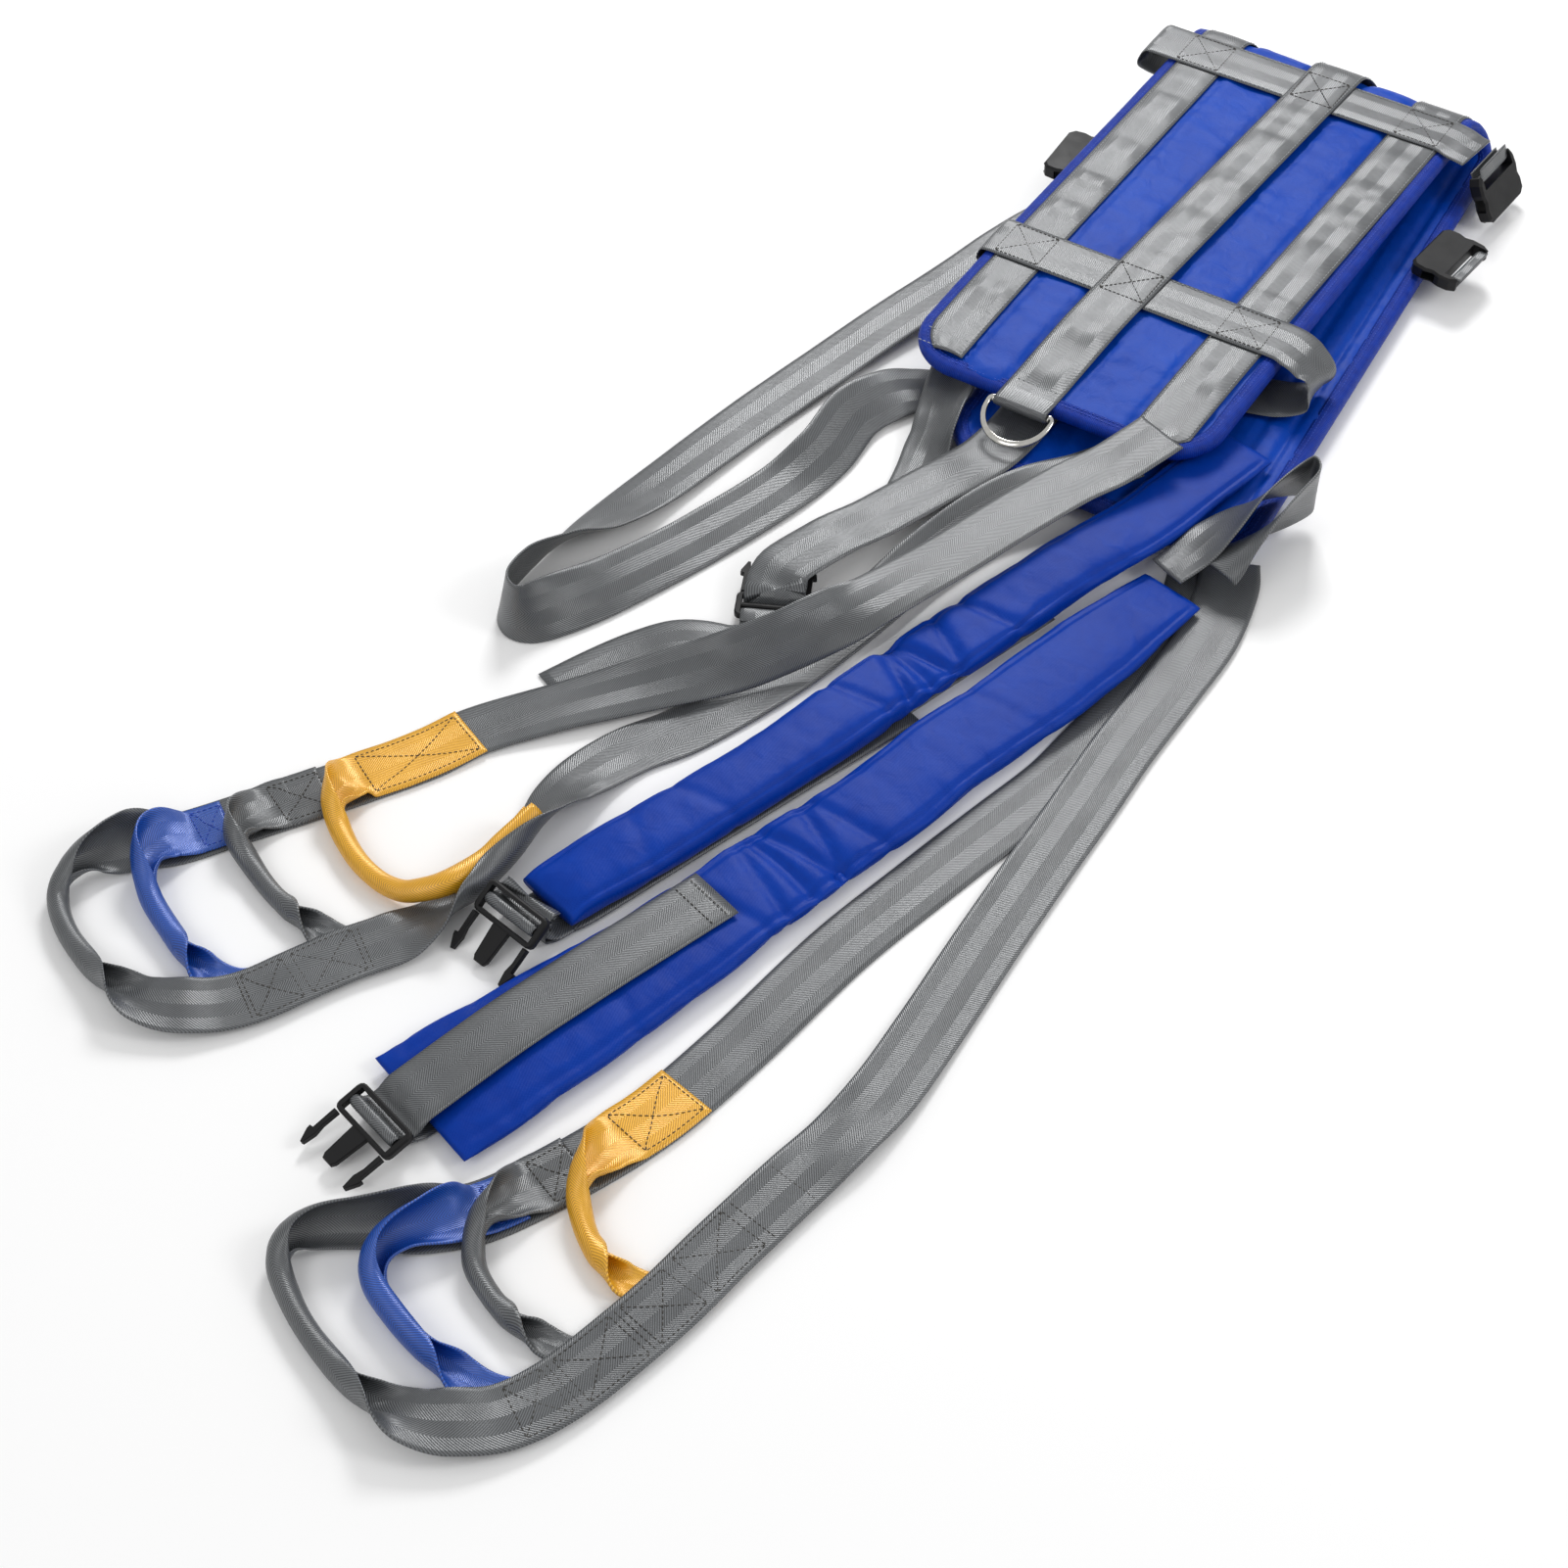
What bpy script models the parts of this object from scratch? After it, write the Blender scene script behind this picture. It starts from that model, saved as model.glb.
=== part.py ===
"""Walking sling laid out flat: a padded trunk belt folded in half, two padded leg straps with male
side-release plugs, two ladder groups of colour-coded hanging loops, plain loops, a D-ring and three
female receptacles. Metres, +Z up, the folded belt's long side along +Y, the floor at z = 0."""

import math

import bmesh
import bpy
import numpy as np
from mathutils import Matrix, Vector

for old in list(bpy.data.objects):
    bpy.data.objects.remove(old)

# ---------------------------------------------------------------- driving dimensions (metres)
SHIFT = (0.08144, -0.19993)  # puts the middle of the whole layout over the origin
WEB = 0.050                  # webbing width
WEB_T = 0.0018               # webbing thickness
GAP = 0.0003                 # clearance left between sewn or resting layers
PANEL_HALF = 0.140           # half width of the padded trunk panel, inside its binding
PANEL_T = 0.012              # thickness of the padded panel
CORNER = 0.045               # corner radius of the panel
BIND_W, BIND_T = 0.005, 0.0124   # edge binding: width beyond the panel, total height
TOP_Z, LOW_Z = 0.0480, 0.0125    # mid-plane heights of the upper and the lower layer
FOLD_Y, TOP_END_Y, LOW_END_Y = 0.995, 0.450, 0.392
PLUG_W, PLUG_T = 0.062, 0.0064   # male plug across the webbing, and thick
BAR_R = 0.0025               # webbing bar of plugs and receptacles
SOCKET_W, SOCKET_L, SOCKET_T = 0.066, 0.044, 0.0135
RING_R, RING_WIRE = 0.030, 0.0024

# ---------------------------------------------------------------- materials
COLOURS = {
    "nylon_blue": ((0.021, 0.080, 0.456), 0.55, 0.0),
    "nylon_navy": ((0.014, 0.045, 0.328), 0.5, 0.0),
    "webbing_grey": ((0.171, 0.181, 0.188), 0.5, 0.0),
    "webbing_yellow": ((0.745, 0.352, 0.021), 0.5, 0.0),
    "webbing_royal": ((0.007, 0.070, 0.376), 0.5, 0.0),
    "acetal_black": ((0.008, 0.008, 0.010), 0.35, 0.0),
    "nickel": ((0.62, 0.61, 0.58), 0.22, 1.0),
}


def give(obj, kind):
    """Gives the object its own Principled material of this kind."""
    colour, rough, metal = COLOURS[kind]
    mat = bpy.data.materials.new(obj.name + "_" + kind)
    mat.use_nodes = True
    shader = mat.node_tree.nodes["Principled BSDF"]
    shader.inputs["Base Color"].default_value = (*colour, 1)
    shader.inputs["Roughness"].default_value = rough
    shader.inputs["Metallic"].default_value = metal
    obj.data.materials.append(mat)


def solid(name, verts, faces, kind, smooth=False, origin=None):
    """One closed mesh object facing outwards, its origin moved to `origin` where it pivots."""
    verts = np.asarray(verts, float) + np.array([SHIFT[0], SHIFT[1], 0.0])
    start = np.zeros(3) if origin is None else np.array([*origin]) + np.array([*SHIFT, 0.0])
    mesh = bpy.data.meshes.new(name)
    mesh.from_pydata((verts - start).tolist(), [], faces)
    bm = bmesh.new()
    bm.from_mesh(mesh)
    bmesh.ops.recalc_face_normals(bm, faces=bm.faces)
    bm.to_mesh(mesh)
    bm.free()
    if smooth:
        mesh.shade_smooth()
    obj = bpy.data.objects.new(name, mesh)
    obj.location = start
    bpy.context.scene.collection.objects.link(obj)
    give(obj, kind)
    return obj


# ---------------------------------------------------------------- curves and ribbons
def curve(rows, at):
    """Smooth curve through the rows, at these places counted in rows. The course on the floor, in the
    first two columns, has even bends. The other columns never swing past their rows."""
    rows = np.asarray(rows, float)
    step = np.diff(rows, axis=0)
    before, after = step[:-1], step[1:]
    even = (before + after) / 2
    same = before * after > 0
    calm = np.where(same, 2 * before * after / np.where(same, before + after, 1), 0)
    calm[:, :2] = even[:, :2]
    slope = np.vstack([step[:1], calm, step[-1:]])
    i = np.clip(np.asarray(at, float).astype(int), 0, len(rows) - 2)
    t = (np.asarray(at, float) - i)[:, None]
    return ((2 * t**3 - 3 * t**2 + 1) * rows[i] + (t**3 - 2 * t**2 + t) * slope[i]
            + (3 * t**2 - 2 * t**3) * rows[i + 1] + (t**3 - t**2) * slope[i + 1])


def spline(rows, steps):
    """The curve with `steps` points for each span."""
    return curve(rows, np.linspace(0, len(rows) - 1, (len(rows) - 1) * steps + 1))


def loft(rings, closed=False):
    """Faces that join rings of equal size, capped at both ends unless the row of rings is closed."""
    count, size = len(rings), len(rings[0])
    faces = []
    for i in range(count if closed else count - 1):
        for j in range(size):
            a, b = i * size, (i + 1) % count * size
            faces.append((a + j, a + (j + 1) % size, b + (j + 1) % size, b + j))
    if not closed:
        faces.append(tuple(range(size))[::-1])
        faces.append(tuple((count - 1) * size + j for j in range(size)))
    return [tuple(p) for ring in rings for p in ring], faces


def strip(rings):
    """Faces of a flat strip of four-cornered rings. Both broad sides are split along the same diagonals, so
    that they stay apart where the strip twists."""
    verts, quads = loft(rings)
    faces = []
    for quad in quads:
        a, b, c, d = quad
        if a % 4 == 2 and b % 4 == 3 and c - a == 5:
            faces += [(a, b, d), (b, c, d)]
        elif c - a in (3, 4, 5) or a - c in (3, 4, 5):
            faces += [(a, b, c), (a, c, d)]
        else:
            faces.append(quad)
    return verts, faces


def lie(rows, at):
    """How a webbing strip lies at these places of its rows: middle, across, normal, half width and
    half thickness. A row is x, y, z in metres, the roll that lifts the left edge, in degrees, and the
    width, which is under WEB where the strip is rolled up into a thicker cord. The lower edge never
    goes under the floor."""
    rows = np.array([(*r[:3], r[3] if len(r) > 3 else 0.0, r[4] if len(r) > 4 else WEB) for r in rows])
    points = curve(rows, at)
    half = points[:, 4] / 2
    thick = WEB_T / 2 * (1 + 1.2 * np.clip(1 - 2 * half / WEB, 0, 1))
    roll = np.radians(points[:, 3])
    points[:, 2] = np.maximum(points[:, 2], half * abs(np.sin(roll)) + thick * abs(np.cos(roll)) + 0.0001)
    tangent = curve(rows, np.asarray(at) + 0.03)[:, :3] - curve(rows, np.asarray(at) - 0.03)[:, :3]
    tangent /= np.linalg.norm(tangent, axis=1)[:, None]
    flat = tangent[:, :2] / np.maximum(np.linalg.norm(tangent[:, :2], axis=1), 1e-6)[:, None]
    left = np.column_stack([-flat[:, 1], flat[:, 0], np.zeros(len(flat))])
    up = np.cross(tangent, left)
    across = np.cos(roll)[:, None] * left + np.sin(roll)[:, None] * up
    return points[:, :3], across, np.cross(tangent, across), half[:, None], thick[:, None]


def ribbon_rings(rows, steps=3):
    at = np.linspace(0, len(rows) - 1, (len(rows) - 1) * steps + 1)
    mid, across, normal, half, thick = lie(rows, at)
    return np.stack([mid - across * half - normal * thick, mid + across * half - normal * thick,
                     mid + across * half + normal * thick, mid - across * half + normal * thick], axis=1)


def beside(rows, start, stop, side, width=WEB, count=4, lift=2 * GAP):
    """Rows of a strip that lies on a stretch of another one: over it for side 1, under it for -1."""
    at = np.linspace(start, stop, count)
    mid, across, normal, half, thick = lie(rows, at)
    rolls = curve([(0, 0, r[3] if len(r) > 3 else 0.0) for r in rows], at)[:, 2]
    mid = mid + normal * side * (thick + WEB_T / 2 * (1 + 1.2 * (1 - width / WEB)) + lift)
    return [(*m, roll, width) for m, roll in zip(mid, rolls)]


def ribbon(name, rows, kind="webbing_grey", steps=3):
    verts, faces = strip(ribbon_rings(rows, steps))
    return solid(name, verts, faces, kind)


def strip_yz(name, path, x0, x1, kind="webbing_grey", turn=None):
    """Webbing whose width runs from x0 to x1 and whose mid-line is a path of local (y, z) points,
    carried by the matrix `turn`."""
    path = np.asarray(path, float)
    tangent = np.gradient(path, axis=0)
    tangent /= np.linalg.norm(tangent, axis=1)[:, None]
    normal = np.column_stack([-tangent[:, 1], tangent[:, 0]]) * WEB_T / 2
    rings = []
    for (y, z), (ny, nz) in zip(path, normal):
        rings.append([(x0, y - ny, z - nz), (x1, y - ny, z - nz), (x1, y + ny, z + nz), (x0, y + ny, z + nz)])
    verts, faces = loft(rings)
    if turn is not None:
        verts = [tuple(turn @ Vector(v)) for v in verts]
    return solid(name, verts, faces, kind)


# ---------------------------------------------------------------- the folded trunk panel
TOP_LEN = FOLD_Y - TOP_END_Y
ARC_R = (TOP_Z - LOW_Z) / 2
ARC_LEN = math.pi * ARC_R
PANEL_LEN = TOP_LEN + ARC_LEN + FOLD_Y - LOW_END_Y


def mid_line(s):
    """Height line of the folded panel at the distance s from its upper layer's free end: (y, z)."""
    if s < TOP_LEN:
        y = TOP_END_Y + s
        sag = max(0.0, 0.62 - y) / 0.17
        return y, TOP_Z - 0.006 * sag**2
    if s < TOP_LEN + ARC_LEN:
        a = (s - TOP_LEN) / ARC_R
        return FOLD_Y + ARC_R * math.sin(a), LOW_Z + ARC_R + ARC_R * math.cos(a)
    return FOLD_Y - (s - TOP_LEN - ARC_LEN), LOW_Z


def skew(s):
    """Sideways place of the panel's middle: the lower layer lies a little to the right."""
    if s < TOP_LEN:
        return -0.0125 - (TOP_LEN - s) * 0.010
    if s < TOP_LEN + ARC_LEN:
        t = (s - TOP_LEN) / ARC_LEN
        return -0.0125 + 0.0245 * (3 * t**2 - 2 * t**3)
    return 0.012 + (s - TOP_LEN - ARC_LEN) * 0.068


def on_panel(u, s, h):
    """Point at u across, s along and h out of the outer face of the folded panel."""
    e = 0.0004
    y, z = mid_line(s)
    y1, z1 = mid_line(s + e)
    y0, z0 = mid_line(s - e)
    ty, tz = y1 - y0, z1 - z0
    n = math.hypot(ty, tz)
    return (skew(s) + u, y - tz / n * h, z + ty / n * h)


def stations(start, stop):
    """Distances along the panel, close together where it sags and round the fold."""
    marks = [s for s in np.linspace(0, TOP_LEN, 16)]
    marks += [TOP_LEN + ARC_LEN * t for t in np.linspace(0, 1, 13)]
    marks += [s for s in np.linspace(TOP_LEN + ARC_LEN, PANEL_LEN, 9)]
    return np.array([start] + sorted({round(m, 6) for m in marks if start + 0.004 < m < stop - 0.004}) + [stop])


def half_width(s, half):
    d = min(s, PANEL_LEN - s)
    return half if d >= CORNER else half - CORNER + math.sqrt(max(CORNER**2 - (CORNER - d) ** 2, 0))


def trunk_panel():
    ends = CORNER * (1 - np.cos(np.linspace(0, np.pi / 2, 7)))
    rows = np.unique(np.round(np.concatenate(
        [ends, stations(CORNER, PANEL_LEN - CORNER), PANEL_LEN - ends]), 6))
    t = PANEL_T / 2
    rings = []
    for s in rows:
        w = half_width(s, PANEL_HALF)
        rings.append([on_panel(u, s, h) for u, h in (
            (-w, -t + 0.003), (-w + 0.006, -t), (w - 0.006, -t), (w, -t + 0.003),
            (w, t - 0.003), (w - 0.006, t), (-w + 0.006, t), (-w, t - 0.003))])
    verts, faces = loft(rings)
    solid("trunk_panel", verts, faces, "nylon_blue", smooth=False)


def outline(out):
    """Closed outline of the panel at the distance `out` outside it, as (u, s) points."""
    r, w, l = CORNER + out, PANEL_HALF + out, PANEL_LEN
    arcs = [(-PANEL_HALF + CORNER, CORNER, math.pi), (PANEL_HALF - CORNER, CORNER, 1.5 * math.pi),
            (PANEL_HALF - CORNER, l - CORNER, 0.0), (-PANEL_HALF + CORNER, l - CORNER, 0.5 * math.pi)]
    side = stations(CORNER, l - CORNER)[1:-1]
    points = []
    for k, (cu, cs, a0) in enumerate(arcs):
        points += [(cu + r * math.cos(a), cs + r * math.sin(a)) for a in np.linspace(a0, a0 + math.pi / 2, 7)]
        if k == 1:
            points += [(w, s) for s in side]
        if k == 3:
            points += [(-w, s) for s in side[::-1]]
    return points


def binding():
    inner, outer = outline(GAP), outline(GAP + BIND_W)
    h = BIND_T / 2
    rings = [[on_panel(*a, -h), on_panel(*b, -h + 0.001), on_panel(*b, h - 0.001), on_panel(*a, h)]
             for a, b in zip(inner, outer)]
    verts, faces = loft(rings, closed=True)
    solid("edge_binding", verts, faces, "nylon_navy")


LAYER = [PANEL_T / 2 + GAP + WEB_T / 2 + k * (WEB_T + GAP) for k in range(4)]


def sewn(name, place, s0, s1, layer, tail=None):
    """Webbing sewn along the panel. `place(s)` is its middle across the panel, `layer(s)` its height,
    and `tail` more mid-line points (u, y, z) that run on from its start."""
    rings = []
    for s in stations(s0, s1):
        u, h, edge = place(s), layer(s), half_width(s, PANEL_HALF) - 0.0005
        u0, u1 = max(u - WEB / 2, -edge), min(u + WEB / 2, edge)
        rings.append([on_panel(a, s, h + b) for a, b in (
            (u0, -WEB_T / 2), (u1, -WEB_T / 2), (u1, WEB_T / 2), (u0, WEB_T / 2))])
    if tail is not None:
        path = np.array([(y, z) for y, z in tail])
        x = place(s0) + skew(s0)
        tangent = np.gradient(path, axis=0)
        tangent /= np.linalg.norm(tangent, axis=1)[:, None]
        extra = []
        for (y, z), (ty, tz) in zip(path, tangent):
            ny, nz = -tz * WEB_T / 2, ty * WEB_T / 2
            extra.append([(x - WEB / 2, y - ny, z - nz), (x + WEB / 2, y - ny, z - nz),
                          (x + WEB / 2, y + ny, z + nz), (x - WEB / 2, y + ny, z + nz)])
        rings = extra + rings
    verts, faces = strip(rings)
    return solid(name, verts, faces, "webbing_grey")


LAYER_END = PANEL_LEN - 0.004
CROSS_UP, CROSS_LOW = FOLD_Y - 0.032 - TOP_END_Y, 0.617 - TOP_END_Y
RING_Y, RING_Z = 0.4345, 0.0456


def cross(name, y, left, right):
    """Transverse webbing over the long side strips, under the middle one, with its ends carried on."""
    z = TOP_Z + LAYER[1]
    rows = left + [(x, y, z) for x in np.linspace(-0.150, 0.122, 9)] + right
    mid = spline(rows, 3)
    tangent = np.gradient(mid, axis=0)
    tangent /= np.linalg.norm(tangent, axis=1)[:, None]
    rings = []
    for p, d in zip(mid, tangent):
        side = np.array((0.0, 1.0, 0.0)) - d * d[1]
        side /= np.linalg.norm(side)
        n = np.cross(d, side) * WEB_T / 2
        side = side * WEB / 2
        rings.append([p - side - n, p + side - n, p + side + n, p - side + n])
    verts, faces = strip(rings)
    solid(name, verts, faces, "webbing_grey")


def trunk():
    trunk_panel()
    binding()
    sewn("webbing_long_left", lambda s: -0.1145, 0.006, PANEL_LEN - 0.006, lambda s: LAYER[0])
    sewn("webbing_long_right", lambda s: 0.110 - 0.010 * max(0, 1 - s / TOP_LEN), 0.030,
         PANEL_LEN - 0.006, lambda s: LAYER[0])
    loop = [(RING_Y + r * math.sin(a), RING_Z + r * math.cos(a))
            for r, a in ((0.0044, t) for t in np.linspace(math.radians(-215), math.radians(-12), 12))]
    sewn("webbing_long_middle", lambda s: 0.005 - 0.022 * max(0, 1 - s / TOP_LEN), 0.001, LAYER_END,
         lambda s: LAYER[2] if s > 0.10 else LAYER[0] + (LAYER[2] - LAYER[0]) * max(0, s - 0.02) / 0.08,
         tail=loop)
    top = TOP_Z + LAYER[1]
    under = TOP_Z - PANEL_T / 2 - 0.0035
    cross("webbing_cross_upper", FOLD_Y - 0.032,
          [(-0.115, 0.958, under - 0.001), (-0.160, 0.960, under - 0.003), (-0.182, 0.962, 0.037),
           (-0.186, 0.963, 0.046), (-0.176, 0.963, top)],
          [(0.140, 0.957, top), (0.153, 0.955, top - 0.001)])
    cross("webbing_cross_lower", 0.617,
          [(-0.100, 0.617, under), (-0.150, 0.617, under), (-0.164, 0.617, under + 0.003),
           (-0.168, 0.617, 0.046), (-0.163, 0.617, top - 0.001)],
          [(0.140, 0.612, top - 0.001), (0.158, 0.606, 0.049), (0.163, 0.600, 0.040),
           (0.158, 0.594, 0.029), (0.135, 0.585, 0.0235), (0.105, 0.577, 0.0225)])


# ---------------------------------------------------------------- free straps
# Route rows: x, y, z, roll in degrees, width. Lengths follow the laid-out course of each strap.
LOOP_LEFT = [
    (-0.126, 0.738, 0.0240), (-0.150, 0.700, 0.0235), (-0.168, 0.645, 0.0215), (-0.183, 0.590, 0.0170),
    (-0.207, 0.515, 0.010), (-0.240, 0.380, 0.004), (-0.265, 0.240, 0.005, 5), (-0.278, 0.160, 0.012, 22),
    (-0.287, 0.110, 0.022, 55), (-0.295, 0.070, 0.025, 74), (-0.290, 0.036, 0.025, 78), (-0.270, 0.024, 0.024, 74),
    (-0.252, 0.045, 0.021, 50), (-0.226, 0.115, 0.011, 20), (-0.200, 0.190, 0.008, 14),
    (-0.177, 0.270, 0.008, 12), (-0.166, 0.330, 0.013, 24), (-0.168, 0.385, 0.016, 26),
    (-0.156, 0.425, 0.013, 18), (-0.140, 0.450, 0.007, 6), (-0.124, 0.466, 0.0028), (-0.106, 0.478, 0.0028)]
STRAP_SHORT = [
    (-0.122, 0.478, 0.0230, 0, 0.040), (-0.112, 0.448, 0.0235, 10, 0.042), (-0.104, 0.422, 0.0230, 25, 0.042),
    (-0.098, 0.400, 0.0180, 28, 0.040), (-0.094, 0.378, 0.0075, 8, 0.040), (-0.088, 0.355, 0.0030, 0, 0.042),
    (-0.082, 0.330, 0.0025, 0, 0.044)]
HANG_LEFT = [
    (0.084, 0.462, 0.0535), (0.076, 0.440, 0.0510), (0.062, 0.405, 0.0470), (0.045, 0.370, 0.046),
    (0.022, 0.305, 0.045), (0.000, 0.240, 0.043), (-0.025, 0.178, 0.040, -6), (-0.045, 0.140, 0.036, -35),
    (-0.065, 0.108, 0.030, -50), (-0.088, 0.078, 0.024, -42), (-0.115, 0.050, 0.018, -22), (-0.155, 0.008, 0.012, -8),
    (-0.195, -0.036, 0.007), (-0.232, -0.082, 0.003), (-0.252, -0.125, 0.0015), (-0.276, -0.165, 0.0015),
    (-0.303, -0.208, 0.0015), (-0.334, -0.255, 0.0015), (-0.357, -0.290, 0.0018, -2), (-0.380, -0.320, 0.012, -35, 0.044),
    (-0.396, -0.350, 0.020, -62, 0.034), (-0.398, -0.378, 0.014, -66, 0.022), (-0.388, -0.396, 0.010, -66, 0.018),
    (-0.362, -0.414, 0.010, -62, 0.018), (-0.332, -0.425, 0.010, -54, 0.022), (-0.302, -0.430, 0.010, -36, 0.034),
    (-0.276, -0.430, 0.0105, -10, 0.046), (-0.250, -0.420, 0.0105), (-0.228, -0.402, 0.0072),
    (-0.212, -0.380, 0.0062), (-0.198, -0.352, 0.0062), (-0.180, -0.318, 0.0062), (-0.160, -0.288, 0.0068),
    (-0.144, -0.256, 0.010, -25, 0.044), (-0.134, -0.226, 0.015, -60, 0.034), (-0.132, -0.200, 0.016, -74, 0.032),
    (-0.130, -0.170, 0.017, -62, 0.036), (-0.131, -0.135, 0.016, -38, 0.046), (-0.133, -0.105, 0.011, -16),
    (-0.130, -0.072, 0.005, -4), (-0.118, -0.035, 0.0025), (-0.098, 0.000, 0.0020), (-0.080, 0.045, 0.0025),
    (-0.062, 0.100, 0.003), (-0.052, 0.140, 0.0036), (-0.040, 0.195, 0.007), (-0.028, 0.260, 0.012, 10),
    (-0.008, 0.325, 0.019, 22), (0.014, 0.372, 0.0235, 16), (0.040, 0.412, 0.0235, 4), (0.060, 0.450, 0.0222)]
RUNG_L_YELLOW = beside(HANG_LEFT, 13.1, 15.1, 1) + [
    (-0.281, -0.186, 0.0130, -20, 0.036), (-0.275, -0.207, 0.0160, -46, 0.028), (-0.254, -0.227, 0.010, -60, 0.019),
    (-0.228, -0.242, 0.010, -60, 0.018), (-0.202, -0.250, 0.010, -55, 0.018), (-0.180, -0.251, 0.012, -45, 0.020),
    (-0.162, -0.244, 0.018, -52, 0.022), (-0.1475, -0.230, 0.022, -66, 0.024)] + beside(HANG_LEFT, 35.0, 36.8, 1, 0.028, lift=0.0034)
RUNG_L_GREY = beside(HANG_LEFT, 15.68, 16.45, 1) + [
    (-0.323, -0.255, 0.0130, -20, 0.034), (-0.316, -0.274, 0.0150, -46, 0.026), (-0.288, -0.290, 0.009, -60, 0.018),
    (-0.256, -0.303, 0.009, -58, 0.017), (-0.229, -0.308, 0.006, -28, 0.020), (-0.207, -0.309, 0.0029, 0, 0.026),
    (-0.187, -0.305, 0.0029, 0, 0.026), (-0.170, -0.294, 0.0029, 0, 0.026)]
RUNG_L_BLUE = beside(HANG_LEFT, 17.12, 17.75, 1, 0.044) + [
    (-0.362, -0.304, 0.0160, -24, 0.040), (-0.359, -0.328, 0.0200, -46, 0.032), (-0.333, -0.354, 0.013, -58, 0.022),
    (-0.302, -0.370, 0.010, -58, 0.020), (-0.272, -0.381, 0.006, -28, 0.023), (-0.252, -0.384, 0.0034, 0, 0.026),
    (-0.229, -0.379, 0.0034, 0, 0.030), (-0.210, -0.362, 0.0034, 0, 0.034), (-0.197, -0.338, 0.0034, 0, 0.034)]
HANG_RIGHT = [
    (0.158, 0.400, 0.0012), (0.172, 0.360, 0.0012), (0.186, 0.300, 0.0012), (0.190, 0.230, 0.0012),
    (0.182, 0.160, 0.0012), (0.176, 0.110, 0.0012), (0.160, 0.045, 0.0012), (0.142, -0.030, 0.0012),
    (0.122, -0.120, 0.0012), (0.108, -0.225, 0.0015), (0.096, -0.295, 0.0015), (0.085, -0.335, 0.0015),
    (0.071, -0.372, 0.0015), (0.054, -0.410, 0.0015), (0.034, -0.446, 0.0018, -2), (0.008, -0.477, 0.012, -30, 0.044),
    (-0.022, -0.499, 0.017, -58, 0.038), (-0.048, -0.520, 0.018, -64, 0.036), (-0.058, -0.540, 0.016, -66, 0.030),
    (-0.050, -0.559, 0.012, -66, 0.022), (-0.028, -0.576, 0.010, -64, 0.018), (0.000, -0.590, 0.010, -60, 0.018),
    (0.030, -0.600, 0.010, -54, 0.022), (0.062, -0.606, 0.012, -42, 0.032), (0.092, -0.604, 0.0125, -10, 0.044),
    (0.118, -0.592, 0.0118), (0.142, -0.570, 0.0076), (0.160, -0.535, 0.0062), (0.173, -0.490, 0.0062),
    (0.184, -0.440, 0.0062), (0.192, -0.385, 0.0062), (0.204, -0.315, 0.0062), (0.213, -0.265, 0.007, -6),
    (0.218, -0.215, 0.006), (0.216, -0.145, 0.004), (0.212, -0.060, 0.0034), (0.2095, 0.025, 0.0034),
    (0.208, 0.100, 0.0034), (0.206, 0.170, 0.0034), (0.207, 0.240, 0.0034), (0.207, 0.310, 0.0034),
    (0.196, 0.370, 0.0034), (0.183, 0.400, 0.0033)]
RUNG_R_YELLOW = beside(HANG_RIGHT, 9.85, 11.2, 1) + [
    (0.080, -0.365, 0.0125, -20, 0.036), (0.081, -0.388, 0.0180, -44, 0.028), (0.090, -0.409, 0.013, -58, 0.020),
    (0.110, -0.428, 0.010, -60, 0.017), (0.132, -0.438, 0.007, -34, 0.019), (0.153, -0.441, 0.0034, 0, 0.024)
    ] + beside(HANG_RIGHT, 29.2, 30.4, -1, 0.028, 3)
RUNG_R_GREY = beside(HANG_RIGHT, 12.15, 12.95, 1) + [
    (0.048, -0.430, 0.0125, -20, 0.034), (0.044, -0.456, 0.0180, -46, 0.026), (0.056, -0.485, 0.011, -58, 0.018),
    (0.082, -0.501, 0.009, -60, 0.017), (0.108, -0.508, 0.007, -34, 0.018), (0.134, -0.508, 0.0034, 0, 0.022),
    (0.154, -0.504, 0.0034, 0, 0.022), (0.168, -0.493, 0.0034, 0, 0.024)]
RUNG_R_BLUE = beside(HANG_RIGHT, 13.35, 13.9, 1, 0.042) + [
    (0.026, -0.463, 0.0160, -22, 0.038), (0.006, -0.494, 0.0220, -46, 0.032),
    (0.000, -0.516, 0.018, -56, 0.030), (0.011, -0.534, 0.013, -56, 0.026),
    (0.038, -0.547, 0.012, -55, 0.025), (0.068, -0.556, 0.010, -45, 0.025), (0.096, -0.560, 0.0055, -16, 0.027),
    (0.116, -0.560, 0.0032, 0, 0.029), (0.135, -0.555, 0.0034, 0, 0.030), (0.151, -0.543, 0.0034, 0, 0.032)]
LOOP_RIGHT = [
    (0.150, 0.348, 0.0190, 0, 0.034), (0.160, 0.372, 0.0240, -8, 0.038), (0.170, 0.400, 0.0346, -28, 0.046),
    (0.182, 0.438, 0.0430, -52, 0.048), (0.197, 0.471, 0.0455, -70), (0.211, 0.486, 0.0460, -84),
    (0.221, 0.472, 0.0460, -92), (0.215, 0.446, 0.0440, -102), (0.202, 0.412, 0.0380, -125, 0.048),
    (0.190, 0.385, 0.0306, -152, 0.044), (0.184, 0.366, 0.0236, -172, 0.040)]


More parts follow.
